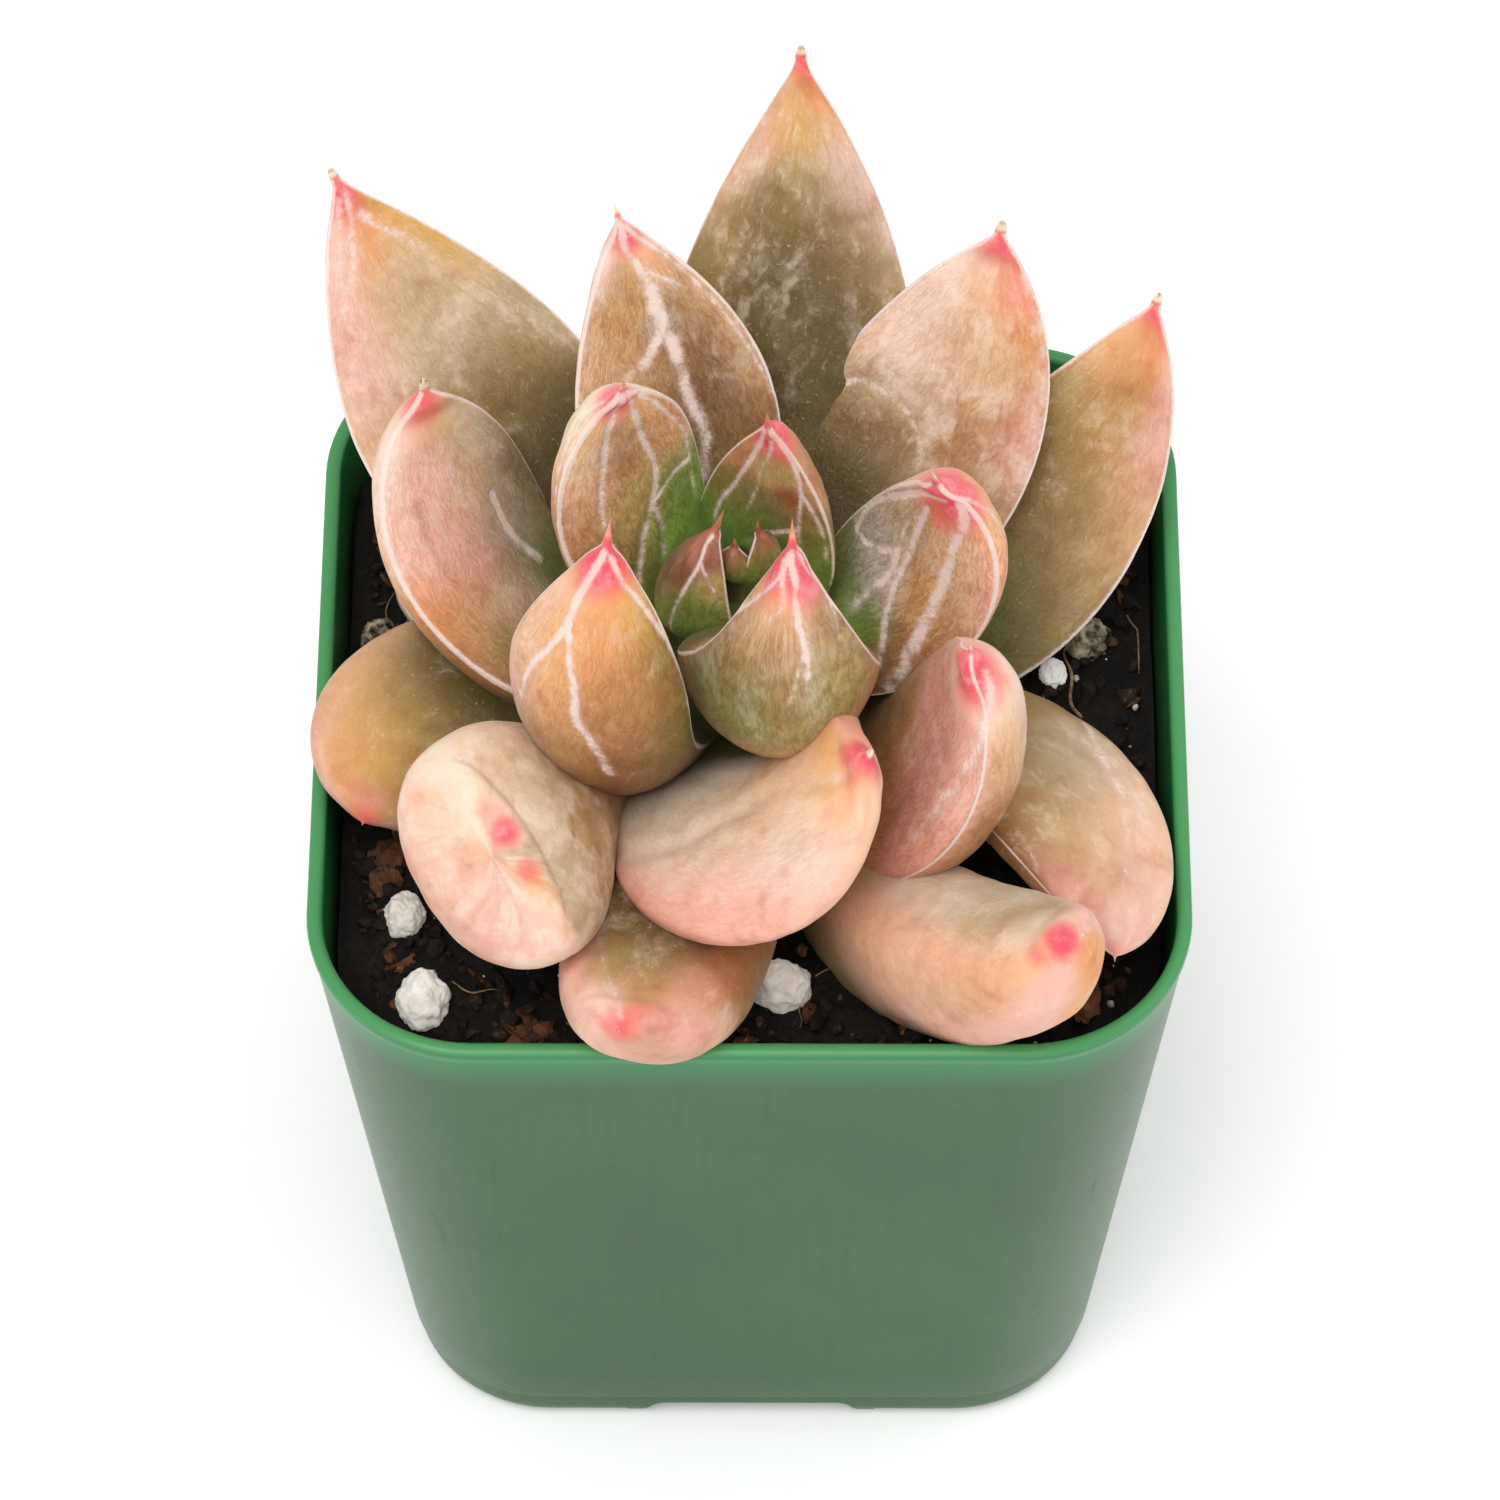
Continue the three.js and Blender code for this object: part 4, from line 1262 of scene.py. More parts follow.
            W(0.97, 0.17, T.CORAL, 0.03, 0.1), W(0.93, 0.17, T.ORANGE, 0.05), W(0.85, 0.26, T.PEACH),
            W(0.61, 0.23, T.CREAM), W(0.49, 0.16, T.CREAM), W(0.45, 0.23, T.CREAM), W(0.6, 0.27, T.SAND),
            W(0.76, 0.16, T.SHELL), W(0.7, 0.1, T.SALMON), W(0.6, 0.9, T.SALMON), W(0.7, 0.85, T.SALMON),
            W(0.85, 0.9, T.PEACH), W(0.85, 0.16, T.SHELL), W(0.54, 0.06, T.SALMON), W(0.87, 0.04, T.BLUSH),
            W(0.64, 0.98, T.SALMON), W(0.96, 0.06, T.SAND, 0.05), W(0.75, 0.27, T.PEACH), W(0.74, 0.29, T.SAND),
            W(0.89, 0.28, T.GOLD, 0.05), W(0.76, 0.03, T.BLUSH), W(0.74, 0.98, T.SALMON),
        ),
        strokes=(
            S(
                (
                    (0.98, 0.24), (0.9, 0.25), (0.77, 0.26), (0.59, 0.22), (0.49, 0.14), (0.4, 0.04),
                ),
                0.9, 0.5, None, 0.28,
            ),
        ),
        flushes=(F(0.99, 0.6, 2.3, 1.1), F(0.93, 0.55, 4.2, 0.55)),
    ),
    Leaf(
        "leaf_middle_front_right", 302, 2, 97, 31.5, 14.3, 6.5, -2.8, swing=49, roll=26, neck=0.45, taper=2.2,
        root=0.6, haste=0.85, point=0.8, point_width=1.2, cap=T.SHELL, gain=1.08, margin=0.25, plump=0.6,
        film=0.38,
        washes=(
            W(0.96, 0.99, T.ROSE, 0.03), W(0.93, 0.93, T.SHELL, 0.04), W(0.83, 0.06, T.BLUSH),
            W(0.72, 0.09, T.BLUSH), W(0.63, 0.04, T.SALMON), W(0.77, 0.3, T.SALMON), W(0.73, 0.19, T.MAUVE),
            W(0.58, 0.17, T.MAUVE), W(0.85, 0.89, T.SAND), W(0.71, 0.88, T.CLAY), W(0.56, 0.08, T.SALMON),
            W(0.54, 0.28, T.OCHRE), W(0.87, 0.79, T.SHELL), W(0.88, 0.19, T.BLUSH), W(0.89, 0.31, T.BLUSH),
            W(0.45, 0.14, T.CLAY), W(0.6, 0.94, T.TAN),
        ),
        strokes=(
            S(((0.97, 0.89), (0.91, 0.01), (0.83, 0.09), (0.7, 0.12), (0.6, 0.11)), 0.6, 0.75, flare=1.8),
            S(((0.97, 0.26), (0.75, 0.29), (0.6, 0.26)), 0.4, 0.5),
        ),
        flushes=(F(0.98, 1, 2.6, 1.1),),
    ),
    Leaf(
        "leaf_outer_back", 77, 34, 56, 38, 15.6, 5, -1.2, swing=13, roll=1, taper=1.65, blunt=1, point=0.8,
        point_width=1.0, dried=True, gain=0.88, margin=0.28, film=0.45,
        washes=(
            W(0.97, 0.14, T.CORAL, 0.03), W(0.91, 0.07, T.ORANGE, 0.05), W(0.95, 0.2, T.ORANGE, 0.04),
            W(0.9, 0.16, T.GOLD, 0.05), W(0.92, 0.3, T.APRICOT, 0.05), W(0.83, 0.41, T.PEACH),
            W(0.88, 0.24, T.GOLD, 0.05), W(0.76, 0.31, T.OLIVE, 0.035, 0.06), W(0.78, 0.24, T.KHAKI, 0.05),
            W(0.82, 0.13, T.SHELL), W(0.74, 0.03, T.SHELL), W(0.71, 0.24, T.OLIVE, 0.05),
            W(0.68, 0.38, T.KHAKI), W(0.61, 0.29, T.MOSS), W(0.6, 0.18, T.MOSS), W(0.55, 0.24, T.OLIVE, 0.05),
            W(0.46, 0.22, T.MOSS), W(0.68, 0.14, T.KHAKI), W(0.6, 0.07, T.KHAKI), W(0.56, 0.4, T.OLIVE),
            W(0.35, 0.25, T.OLIVE, 0.12, 0.12),
        ),
        strokes=(
            S(((0.7, 0.24), (0.6, 0.23), (0.5, 0.24), (0.38, 0.24)), 1.0, 0.34),
            S(((0.82, 0.16), (0.76, 0.2), (0.72, 0.19)), 0.5, 0.35),
            S(((0.9, 0.4), (0.82, 0.39), (0.74, 0.4)), 0.5, 0.4),
        ),
        flushes=(F(1, 0.16, 1.7, 0.95), F(0.93, 0.08, 2.6, 0.45)),
    ),
    Leaf(
        "leaf_outer_back_left", 141, 16, 50, 39.5, 16, 5.5, -2, swing=-10, roll=-13, crest=0.55, taper=1.7,
        blunt=1, point=0.8, point_width=0.95, dried=True, margin=0.5, film=0.45,
        washes=(
            W(0.95, 0.29, T.CORAL, 0.03), W(0.87, 0.27, T.ORANGE, 0.035, 0.05), W(0.82, 0.39, T.BLUSH),
            W(0.9, 0.39, T.BLUSH), W(0.78, 0.27, T.SAND), W(0.69, 0.23, T.SAGE), W(0.63, 0.13, T.KHAKI),
            W(0.56, 0.22, T.OLIVE), W(0.82, 0.08, T.GOLD), W(0.9, 0.1, T.GOLD, 0.06), W(0.79, 0.16, T.SAND),
            W(0.69, 0.37, T.SHELL), W(0.48, 0.15, T.MOSS), W(0.92, 0.18, T.ORANGE, 0.04), W(0.74, 0.2, T.SAGE),
            W(0.56, 0.4, T.SAND), W(0.4, 0.25, T.MOSS, 0.1, 0.12), W(0.68, 0.08, T.SAGE), W(0.6, 0.3, T.KHAKI),
        ),
        strokes=(
            S(((0.98, 0.23), (0.95, 0.27), (0.9, 0.31), (0.85, 0.34)), 0.45, 0.7, flare=1.6),
            S(((0.97, 0.35), (0.93, 0.36), (0.87, 0.38), (0.8, 0.39)), 0.5, 0.6, flare=1.8),
            S(((0.93, 0.22), (0.89, 0.18), (0.84, 0.15), (0.79, 0.14)), 0.9, 0.6),
        ),
        flushes=(F(0.98, 0.3, 2.0, 1.0), F(0.87, 0.26, 1.5, 0.3)),
    ),
    Leaf(
        "leaf_outer_back_right", 17, 0, 55, 35.5, 14, 5, -2, swing=43, roll=19, crest=0.45, taper=1.9,
        blunt=0.9, point=0.8, point_width=0.95, dried=True, margin=0.5, film=0.38,
        washes=(
            W(0.96, 0.08, T.CORAL, 0.03), W(0.9, 0.2, T.ORANGE, 0.05), W(0.89, 0.35, T.APRICOT, 0.05),
            W(0.73, 0.22, T.OCHRE), W(0.47, 0.16, T.OLIVE), W(0.77, 0.11, T.SALMON), W(0.82, 0.24, T.OCHRE),
            W(0.61, 0.23, T.OLIVE), W(0.65, 0.1, T.SAND), W(0.48, 0.05, T.KHAKI), W(0.56, 0.13, T.TAN),
            W(0.68, 0.31, T.OLIVE), W(0.84, 0.05, T.BLUSH), W(0.4, 0.25, T.GREEN, 0.08, 0.1),
            W(0.3, 0.15, T.GREEN), W(0.75, 0.38, T.KHAKI),
        ),
        strokes=(S(((0.86, 0.08), (0.75, 0.08), (0.62, 0.07)), 0.8, 0.4),),
        flushes=(F(1, 0.1, 2.0, 1.0), F(0.93, 0.15, 2.3, 0.4)),
    ),
    Leaf(
        "leaf_outer_right", 354, 14, 0, 34.4, 12.6, 4.9, -1.1, swing=-86, roll=-21, neck=0.3, crest=0.6,
        taper=2, blunt=0.7, belly=0.55, root=0.45, swell=2.1, haste=1.05, point=0.5, point_width=1.1,
        cap=T.LILAC, gain=0.93, margin=0.2, plump=0.8, film=0.42, streak=0.5,
        washes=(
            W(0.61, 0.28, T.SAGE), W(0.71, 0.32, T.PEACH), W(0.89, 0.3, T.BLUSH), W(1, 0.16, T.LILAC, 0.04),
            W(0.76, 0.05, T.BROWN), W(0.6, 0.22, T.KHAKI), W(0.8, 0.36, T.PEACH), W(0.81, 0.24, T.SAND),
            W(0.73, 0.18, T.TAN), W(0.97, 0.26, T.BLUSH, 0.04), W(0.4, 0.3, T.KHAKI), W(0.91, 0.11, T.SALMON),
            W(0.5, 0.15, T.OLIVE), W(0.3, 0.25, T.GREEN),
        ),
        strokes=(
            S(((0.48, 0.45), (0.59, 0.35), (0.7, 0.32), (0.83, 0.28), (0.97, 0.23)), 0.8, 0.6),
            S(((0.62, 0.36), (0.74, 0.35), (0.86, 0.33)), 0.5, 0.5),
        ),
        flushes=(F(1.01, 0.13, 1.7, 0.6),),
    ),
    Leaf(
        "leaf_outer_left", 168, 15, -1, 27.1, 13.7, 7.3, -2.4, swing=85, roll=-17, neck=0.2, crest=0.7,
        taper=2.4, blunt=0.7, swell=1.75, point=0.3, point_width=1.0, cap=T.ROSE, gain=0.85, margin=0.0,
        plump=0.9, film=0.28, streak=0.5,
        washes=(
            W(0.96, 0.22, T.ROSE, 0.03), W(0.92, 0.14, T.ORANGE), W(0.88, 0.2, T.GOLD), W(0.86, 0.08, T.PEACH),
            W(0.8, 0.25, T.GOLD), W(0.8, 0.12, T.APRICOT), W(0.76, 0.3, T.OLIVE), W(0.74, 0.18, T.KHAKI),
            W(0.7, 0.07, T.SAND), W(0.68, 0.26, T.OLIVE), W(0.62, 0.2, T.MOSS), W(0.6, 0.32, T.DEEP),
            W(0.55, 0.25, T.DEEP), W(0.84, 0.33, T.OLIVE), W(0.94, 0.32, T.OCHRE), W(0.5, 0.12, T.MOSS),
            W(0.7, 0.97, T.SALMON), W(0.85, 0.98, T.SALMON),
        ),
        strokes=(
            S(((0.94, 0.06), (0.83, 0.1), (0.71, 0.12)), 0.9, 0.4),
            S(((0.88, 0.21), (0.81, 0.2), (0.73, 0.2)), 0.7, 0.3),
        ),
        flushes=(F(1, 0.27, 1.5, 0.8),),
    ),
    Leaf(
        "leaf_outer_front_right", 291, -7, 59, 38.3, 9.5, 9.9, -3, swing=37, roll=-8, neck=0.25, crest=0.65,
        taper=2.7, blunt=0.55, swell=1.2, haste=1.05, point=0.3, point_width=1.7, margin=0.0, plump=1.0,
        film=0.4, streak=0.5,
        washes=(
            W(0.73, 0.25, T.SAGE), W(0.84, 0.03, T.APRICOT), W(0.86, 0.22, T.KHAKI), W(0.8, 0.28, T.SAGE),
            W(0.78, 0.06, T.SALMON), W(0.94, 0.2, T.CREAM), W(0.95, 0.73, T.ORANGE), W(0.77, 0.32, T.SAGE),
            W(0.9, 0.9, T.BLUSH), W(0.73, 0.08, T.PEACH), W(0.65, 0.11, T.PEACH), W(0.88, 0.14, T.PEACH),
            W(0.61, 0.03, T.PEACH), W(0.82, 0.89, T.SALMON), W(0.93, 0.08, T.PEACH), W(0.65, 0.24, T.CREAM),
            W(0.71, 0.91, T.SALMON), W(0.76, 0.99, T.TAN),
        ),
        strokes=(
            S(((1, 0.06), (1, 0.1)), 0.55, 1.0, T.CREAM, -0.2),
            S(((0.93, 0.16), (0.84, 0.14), (0.72, 0.14), (0.62, 0.15)), 0.6, 0.35),
            S(((0.96, 0.9), (0.9, 0.98), (0.81, 0.98)), 0.6, 0.3),
        ),
        flushes=(F(0.99, 0.07, 1.6, 1.15), F(0.96, 0.04, 1.5, 0.7), F(0.95, 0.12, 2.6, 0.4)),
    ),
    Leaf(
        "leaf_outer_front_left", 223, 6, 51, 29.2, 15.2, 10.2, -0.4, swing=34, roll=-46, neck=0.15, crest=0.8,
        taper=3.4, blunt=0.45, belly=0.75, root=0.25, swell=3.5, haste=1.1, point=0.25, point_width=1.2,
        margin=0.0, plump=1.0, film=0.62, streak=0.4,
        washes=(
            W(0.99, 0.2, T.ROSE, 0.04, 0.04), W(1, 0.87, T.PEACH), W(0.88, 0.15, T.SAND), W(0.83, 0.23, T.TAN),
            W(0.8, 0.33, T.TAN), W(0.99, 0.02, T.CREAM), W(0.97, 0.79, T.PEACH), W(0.97, 0.69, T.SALMON),
            W(0.96, 0.6, T.SALMON), W(0.99, 0.36, T.ORANGE, 0.03, 0.04), W(0.9, 0.26, T.SAGE),
            W(0.89, 0.21, T.CREAM), W(0.93, 0.36, T.SAGE), W(0.99, 0.69, T.BLUSH), W(0.92, 0.12, T.CREAM),
            W(0.98, 0.5, T.SHELL), W(0.87, 0.81, T.SALMON), W(0.96, 0.1, T.SAND), W(0.95, 0.3, T.KHAKI, 0.04),
            W(0.98, 0.45, T.ORANGE, 0.05),
        ),
        strokes=(
            S(((0.73, 0.3), (0.82, 0.32), (0.87, 0.34)), 0.16, 0.6, T.BROWN),
            S(((0.64, 0.36), (0.74, 0.36), (0.84, 0.36)), 0.16, 0.5, T.BROWN),
            S(((0.78, 0.25), (0.83, 0.28), (0.89, 0.29)), 0.16, 0.5, T.BROWN),
            S(((0.79, 0.22), (0.83, 0.22), (0.88, 0.23)), 0.14, 0.45, T.BROWN),
            S(((0.94, 0.06), (0.91, 0.09), (0.88, 0.14)), 0.8, 0.55, None, 0.2),
        ),
        flushes=(
            F(0.99, 0.22, 1.25, 1.05), F(0.99, 0.34, 1.2, 0.8), F(0.99, 0.12, 1.2, 0.6),
            F(0.97, 0.3, 2.2, 0.35),
        ),
    ),
    Leaf(
        "leaf_outer_front", 261, -1, 33, 30.7, 12.3, 8.9, -2.3, swing=-9, roll=6, neck=0.35, crest=0.6,
        taper=2.55, blunt=0.55, belly=0.55, swell=1.55, point=0.3, point_width=1.0, cap=T.PEACH, margin=0.0,
        plump=0.9, film=0.35, streak=0.6,
        washes=(
            W(0.89, 0.37, T.SALMON), W(0.99, 0.3, T.CORAL, 0.03), W(0.87, 0.22, T.TAN), W(0.81, 0.26, T.OLIVE),
            W(0.97, 0.53, T.SALMON), W(0.81, 0.41, T.CLAY), W(0.73, 0.42, T.BROWN),
            W(0.96, 0.18, T.SHELL, 0.05), W(0.8, 0.07, T.BLUSH), W(0.75, 0.23, T.MOSS),
            W(0.91, 0.28, T.OCHRE, 0.04), W(0.68, 0.26, T.MOSS, 0.1, 0.12), W(0.94, 0.72, T.SALMON),
            W(0.98, 0.69, T.TAN),
        ),
        strokes=(S(((0.99, 0.24), (0.91, 0.2), (0.8, 0.17)), 0.5, 0.5),),
        flushes=(F(1, 0.9, 1.7, 0.9),),
    ),
    Leaf(
        "leaf_low_back", 110, 4, 26, 25, 11.5, 6, -3.2, taper=2.2, point=0.6, point_width=1.0, cap=T.BLUSH,
        margin=0.4,
        strokes=(KEEL,), flushes=(F(0.99, 0.25, 2.3, 0.8),),
    ),
    Leaf(
        "leaf_low_back_right", 54, 4, 28, 25, 11.5, 6, -3, swing=8, taper=2.2, point=0.6, point_width=1.0,
        cap=T.BLUSH, margin=0.4, strokes=(KEEL,), flushes=(F(0.99, 0.25, 2.3, 0.8),),
    ),
    Leaf(
        "leaf_low_left", 158, 2, 16, 21.5, 10.5, 5.6, -3.2, swing=4, taper=2.4, blunt=0.7, point=0.5,
        point_width=1.0, cap=T.BLUSH, margin=0.4, strokes=(KEEL,), flushes=(F(0.99, 0.25, 2.3, 0.8),),
    ),
)


# ---- Pot ----
@dataclass
class Pot:
    """A thin square tapered shell with round corners, a rolled lip, a drained foot and four feet."""

    rim_width: float = 54
    base_width: float = 44.7
    rim_corner: float = 10.2
    base_corner: float = 9.1
    wall: float = 0.85
    floor: float = 0.95
    fillet: float = 1.5
    band: float = 3
    step: float = 0.15
    lip: float = 0.36
    flange: float = 0.12
    channel_width: float = 13.6
    channel_height: float = 1.9
    channel_round: float = 1.2
    drain_radius: float = 2.1
    drain_spread: float = 11.5
    corner_steps: int = 18
    side_steps: int = 8

    def ring(self, height: float, offset: float) -> Array:
        """The pot's outline at a height, moved outwards by an offset.

        Args:
            height: Millimetres above the bench.
            offset: Millimetres outwards.

        Returns:
            Points, anticlockwise from the right.
        """
        share = height / RIM_HEIGHT
        half = (self.base_width + (self.rim_width - self.base_width) * share) / 2 + offset
        corner = max(self.base_corner + (self.rim_corner - self.base_corner) * share + offset, 0.5)
        flat = half - corner
        points = []
        for quarter in range(4):
            turn = math.pi / 2 * quarter
            for step in range(self.side_steps):
                away = flat * (2 * step / self.side_steps - 1)
                across, along = math.cos(turn), math.sin(turn)
                points.append((half * across - away * along, half * along + away * across))
            middle = turn + math.pi / 4
            for step in range(self.corner_steps):
                angle = turn + math.pi / 2 * step / self.corner_steps
                reach = flat * math.sqrt(2)
                points.append(
                    (
                        math.cos(middle) * reach + math.cos(angle) * corner,
                        math.sin(middle) * reach + math.sin(angle) * corner,
                    )
                )
        return np.column_stack([np.array(points), np.full(len(points), height)])

    def loft(self, name: str, rings: list[Array], material: bpy.types.Material) -> bpy.types.Object:
        """A closed skin over outlines, closed flat at both ends.

        Args:
            name: The object's name.
            rings: Outlines of equal length, from the bottom.
            material: The finish.

        Returns:
            The object.
        """
        around = len(rings[0])
        ends = np.array([rings[0].mean(0), rings[-1].mean(0)])
        return make_mesh(name, np.vstack([*rings, ends]), tube_faces(len(rings), around), material, 30)

    def bars(
        self, name: str, section: list[tuple[float, float]], material: bpy.types.Material
    ) -> list[bpy.types.Object]:
        """Two crossing bars under the pot.

        Args:
            name: Starts the bars' names.
            section: Their section's corners, across and up.
            material: The finish.

        Returns:
            The bars.
        """
        made = []
        length = self.rim_width * 0.7
        for index, turn in enumerate((0.0, math.pi / 2)):
            rings = [np.array([(x, away, z) for x, z in section]) @ spin(turn) for away in (-length, length)]
            made.append(self.loft(f"{name}_{index}", rings, material))
            self.face_out(made[-1])
        return made

    @staticmethod
    def face_out(piece: bpy.types.Object) -> None:
        """Turns a closed mesh's faces outwards.

        Args:
            piece: The mesh's object.
        """
        work = bmesh.new()
        work.from_mesh(piece.data)
        bmesh.ops.recalc_face_normals(work, faces=work.faces)
        work.to_mesh(piece.data)
        work.free()

    def section(self, grow: float) -> list[tuple[float, float]]:
        """Half-round-shouldered section of the drainage cross, widened all round.

        Args:
            grow: Millimetres added.

        Returns:
            Corners, across and up.
        """
        half = self.channel_width / 2 + grow
        top = self.channel_height + grow
        round_ = self.channel_round + grow
        right = []
        for step in range(9):
            angle = math.pi / 2 * step / 8
            right.append((half - round_ + round_ * math.cos(angle), top - round_ + round_ * math.sin(angle)))
        flare = [(half + round_, -1.0), (half + round_, 0.0), (half + 0.3 * round_, 0.12)]
        flare.append((half, min(round_, top / 2) * 0.7))
        side = flare + right
        return side + [(-x, z) for x, z in reversed(side)]

    def cut(self, piece: bpy.types.Object, tool: bpy.types.Object, how: str) -> None:
        """Cuts or joins with a tool, which is then removed.

        Args:
            piece: What is cut.
            tool: What cuts it.
            how: DIFFERENCE, UNION or INTERSECT.
        """
        change = piece.modifiers.new("cut", "BOOLEAN")
        change.operation = how
        change.solver = "EXACT"
        change.object = tool
        bpy.context.view_layer.update()
        result = bpy.data.meshes.new_from_object(piece.evaluated_get(bpy.context.evaluated_depsgraph_get()))
        piece.modifiers.clear()
        piece.data = result
        bpy.data.objects.remove(tool)

    def wall_rings(self) -> list[Array]:
        """The outlines of the whole wall: up the outside from the foot, over the lip and down to the floor.

        Returns:
            The outlines, in order.
        """
        rings = [self.ring(0, -self.fillet)]
        for step in range(1, 7):
            angle = math.pi / 2 * step / 6
            inset = self.fillet * (1 - math.sin(angle)) + self.step * step / 6
            rings.append(self.ring(self.fillet * (1 - math.cos(angle)), -inset))
        for above, offset in ((-0.05, -self.step), (0.08, -0.03), (0.3, 0)):
            rings.append(self.ring(self.band + above, offset))
        rings += [self.ring(height, 0) for height in np.linspace(self.band + 4, RIM_HEIGHT - 1.6, 8)]
        rings += [self.ring(RIM_HEIGHT - 1.2, 0.02), self.ring(RIM_HEIGHT - 0.85, self.flange)]
        for step in range(7):
            angle = math.pi * step / 6
            over = (self.wall + self.flange) / 2 * (1 - math.cos(angle))
            rings.append(self.ring(RIM_HEIGHT - self.lip * (1 - math.sin(angle)), self.flange - over))
        rings += [self.ring(height, -self.wall) for height in np.linspace(RIM_HEIGHT - 1.2, self.floor + 3, 9)]
        foot = self.fillet * 0.7
        for step in range(1, 5):
            angle = math.pi / 2 * step / 4
            inset = self.wall + foot * (1 - math.cos(angle))
            rings.append(self.ring(self.floor + foot * (1 - math.sin(angle)), -inset))
        return rings

    def channel(self, shell: bpy.types.Object, plastic: bpy.types.Material) -> None:
        """Raises the floor over the crossed drainage channel and hollows the channel out.

        Args:
            shell: The pot.
            plastic: The finish.
        """
        for bar in self.bars("hump", self.section(self.floor), plastic):
            low = self.ring(0.4, -self.wall * 0.5)
            high = self.ring(self.channel_height + self.floor + 3, -self.wall - 0.02)
            room = self.loft("room", [low, high], plastic)
            self.face_out(room)
            self.cut(bar, room, "INTERSECT")
            self.cut(shell, bar, "UNION")
        for bar in self.bars("channel", self.section(0), plastic):
            self.cut(shell, bar, "DIFFERENCE")

    def drain(self, shell: bpy.types.Object, plastic: bpy.types.Material) -> None:
        """Drills one drain hole in the middle and one in each arm of the channel.

        Args:
            shell: The pot.
            plastic: The finish.
        """
        angles = np.linspace(0, 2 * np.pi, 40, endpoint=False)
        round_ = np.column_stack([np.cos(angles), np.sin(angles)]) * self.drain_radius
        for spot in ((0, 0), (1, 0), (0, 1), (-1, 0), (0, -1)):
            circle = round_ + np.array(spot) * self.drain_spread
            rings = [np.column_stack([circle, np.full(len(circle), z)]) for z in (-2.0, 7.0)]
            drill = self.loft("drill", rings, plastic)
            self.face_out(drill)
            self.cut(shell, drill, "DIFFERENCE")

    def dress(self) -> None:
        """Builds the pot and seats it on the frame."""
        plastic = PotPlastic().build()
        shell = self.loft("visual_pot", self.wall_rings(), plastic)
        self.face_out(shell)
        self.channel(shell, plastic)
        self.drain(shell, plastic)
        shell.data.shade_smooth()
        shell.data.set_sharp_from_angle(angle=math.radians(32))
        shell.data.materials.clear()
        shell.data.materials.append(plastic)
        place_piece(shell, "pot", "pot")


# ---- Soil and what lies in it ----
@dataclass
class Crumb:
    """A lump's shape: how knobbly, how fine-grained and how flat it is, and how finely it is meshed."""

    knobs: float = 0.3
    grain: float = 1.6
    squash: float = 0.8
    detail: int = 2

    def points(self, size: float, seed: int) -> tuple[Array, list[tuple[int, ...]]]:
        """An irregular lump about the origin.

        Args:
            size: Rough radius in millimetres.
            seed: Picks the shape.

        Returns:
            Corners and faces.
        """
        work = bmesh.new()
        bmesh.ops.create_icosphere(work, subdivisions=self.detail, radius=1)
        shift = Vector((seed * 7.3, seed * 3.1, seed * 1.7))
        for corner in work.verts:
            way = corner.co.copy()
            bump = noise.fractal(way * self.grain + shift, 0.6, 2.0, 4)
            cell = noise.voronoi(way * 1.3 + shift)[0][0]
            corner.co = way * (1 + self.knobs * bump + self.knobs * (cell - 0.35))
            corner.co.z *= self.squash
        work.verts.index_update()
        points = np.array([corner.co for corner in work.verts]) * size
        faces = [tuple(corner.index for corner in face.verts) for face in work.faces]
        work.free()
        return points, faces


@dataclass(frozen=True)
class Litter:
    """Loose matter strewn over the bed: how many lumps, their sizes and how flat the flattest is."""

    name: str
    count: int
    least: float
    most: float
    flat: float
    shape: Crumb
    finish: GrainFinish
    slot: str


LITTER = (
    Litter(
        "soil_crumbs", 1900, 0.16, 0.75, 0.8, Crumb(0.42, 1.9, 0.8),
        GrainFinish("peat_crumb", "0d0a07", "261b13", "6e4f33", 900.0, 0.92, 0.0003), "soil",
    ),
    Litter(
        "soil_flecks", 520, 0.18, 1.05, 0.35, Crumb(0.4, 1.2, 0.4),
        GrainFinish("bark_fleck", "24140c", "6b4127", "c39563", 800.0, 0.85, 0.0003), "bark",
    ),
    Litter(
        "soil_dust", 110, 0.1, 0.4, 0.8, Crumb(0.3, 2.0, 0.9),
        GrainFinish("perlite_dust", "8f8878", "d6cfc0", "f2eee6", 900.0, 0.9, 0.0002), "perlite",
    ),
)


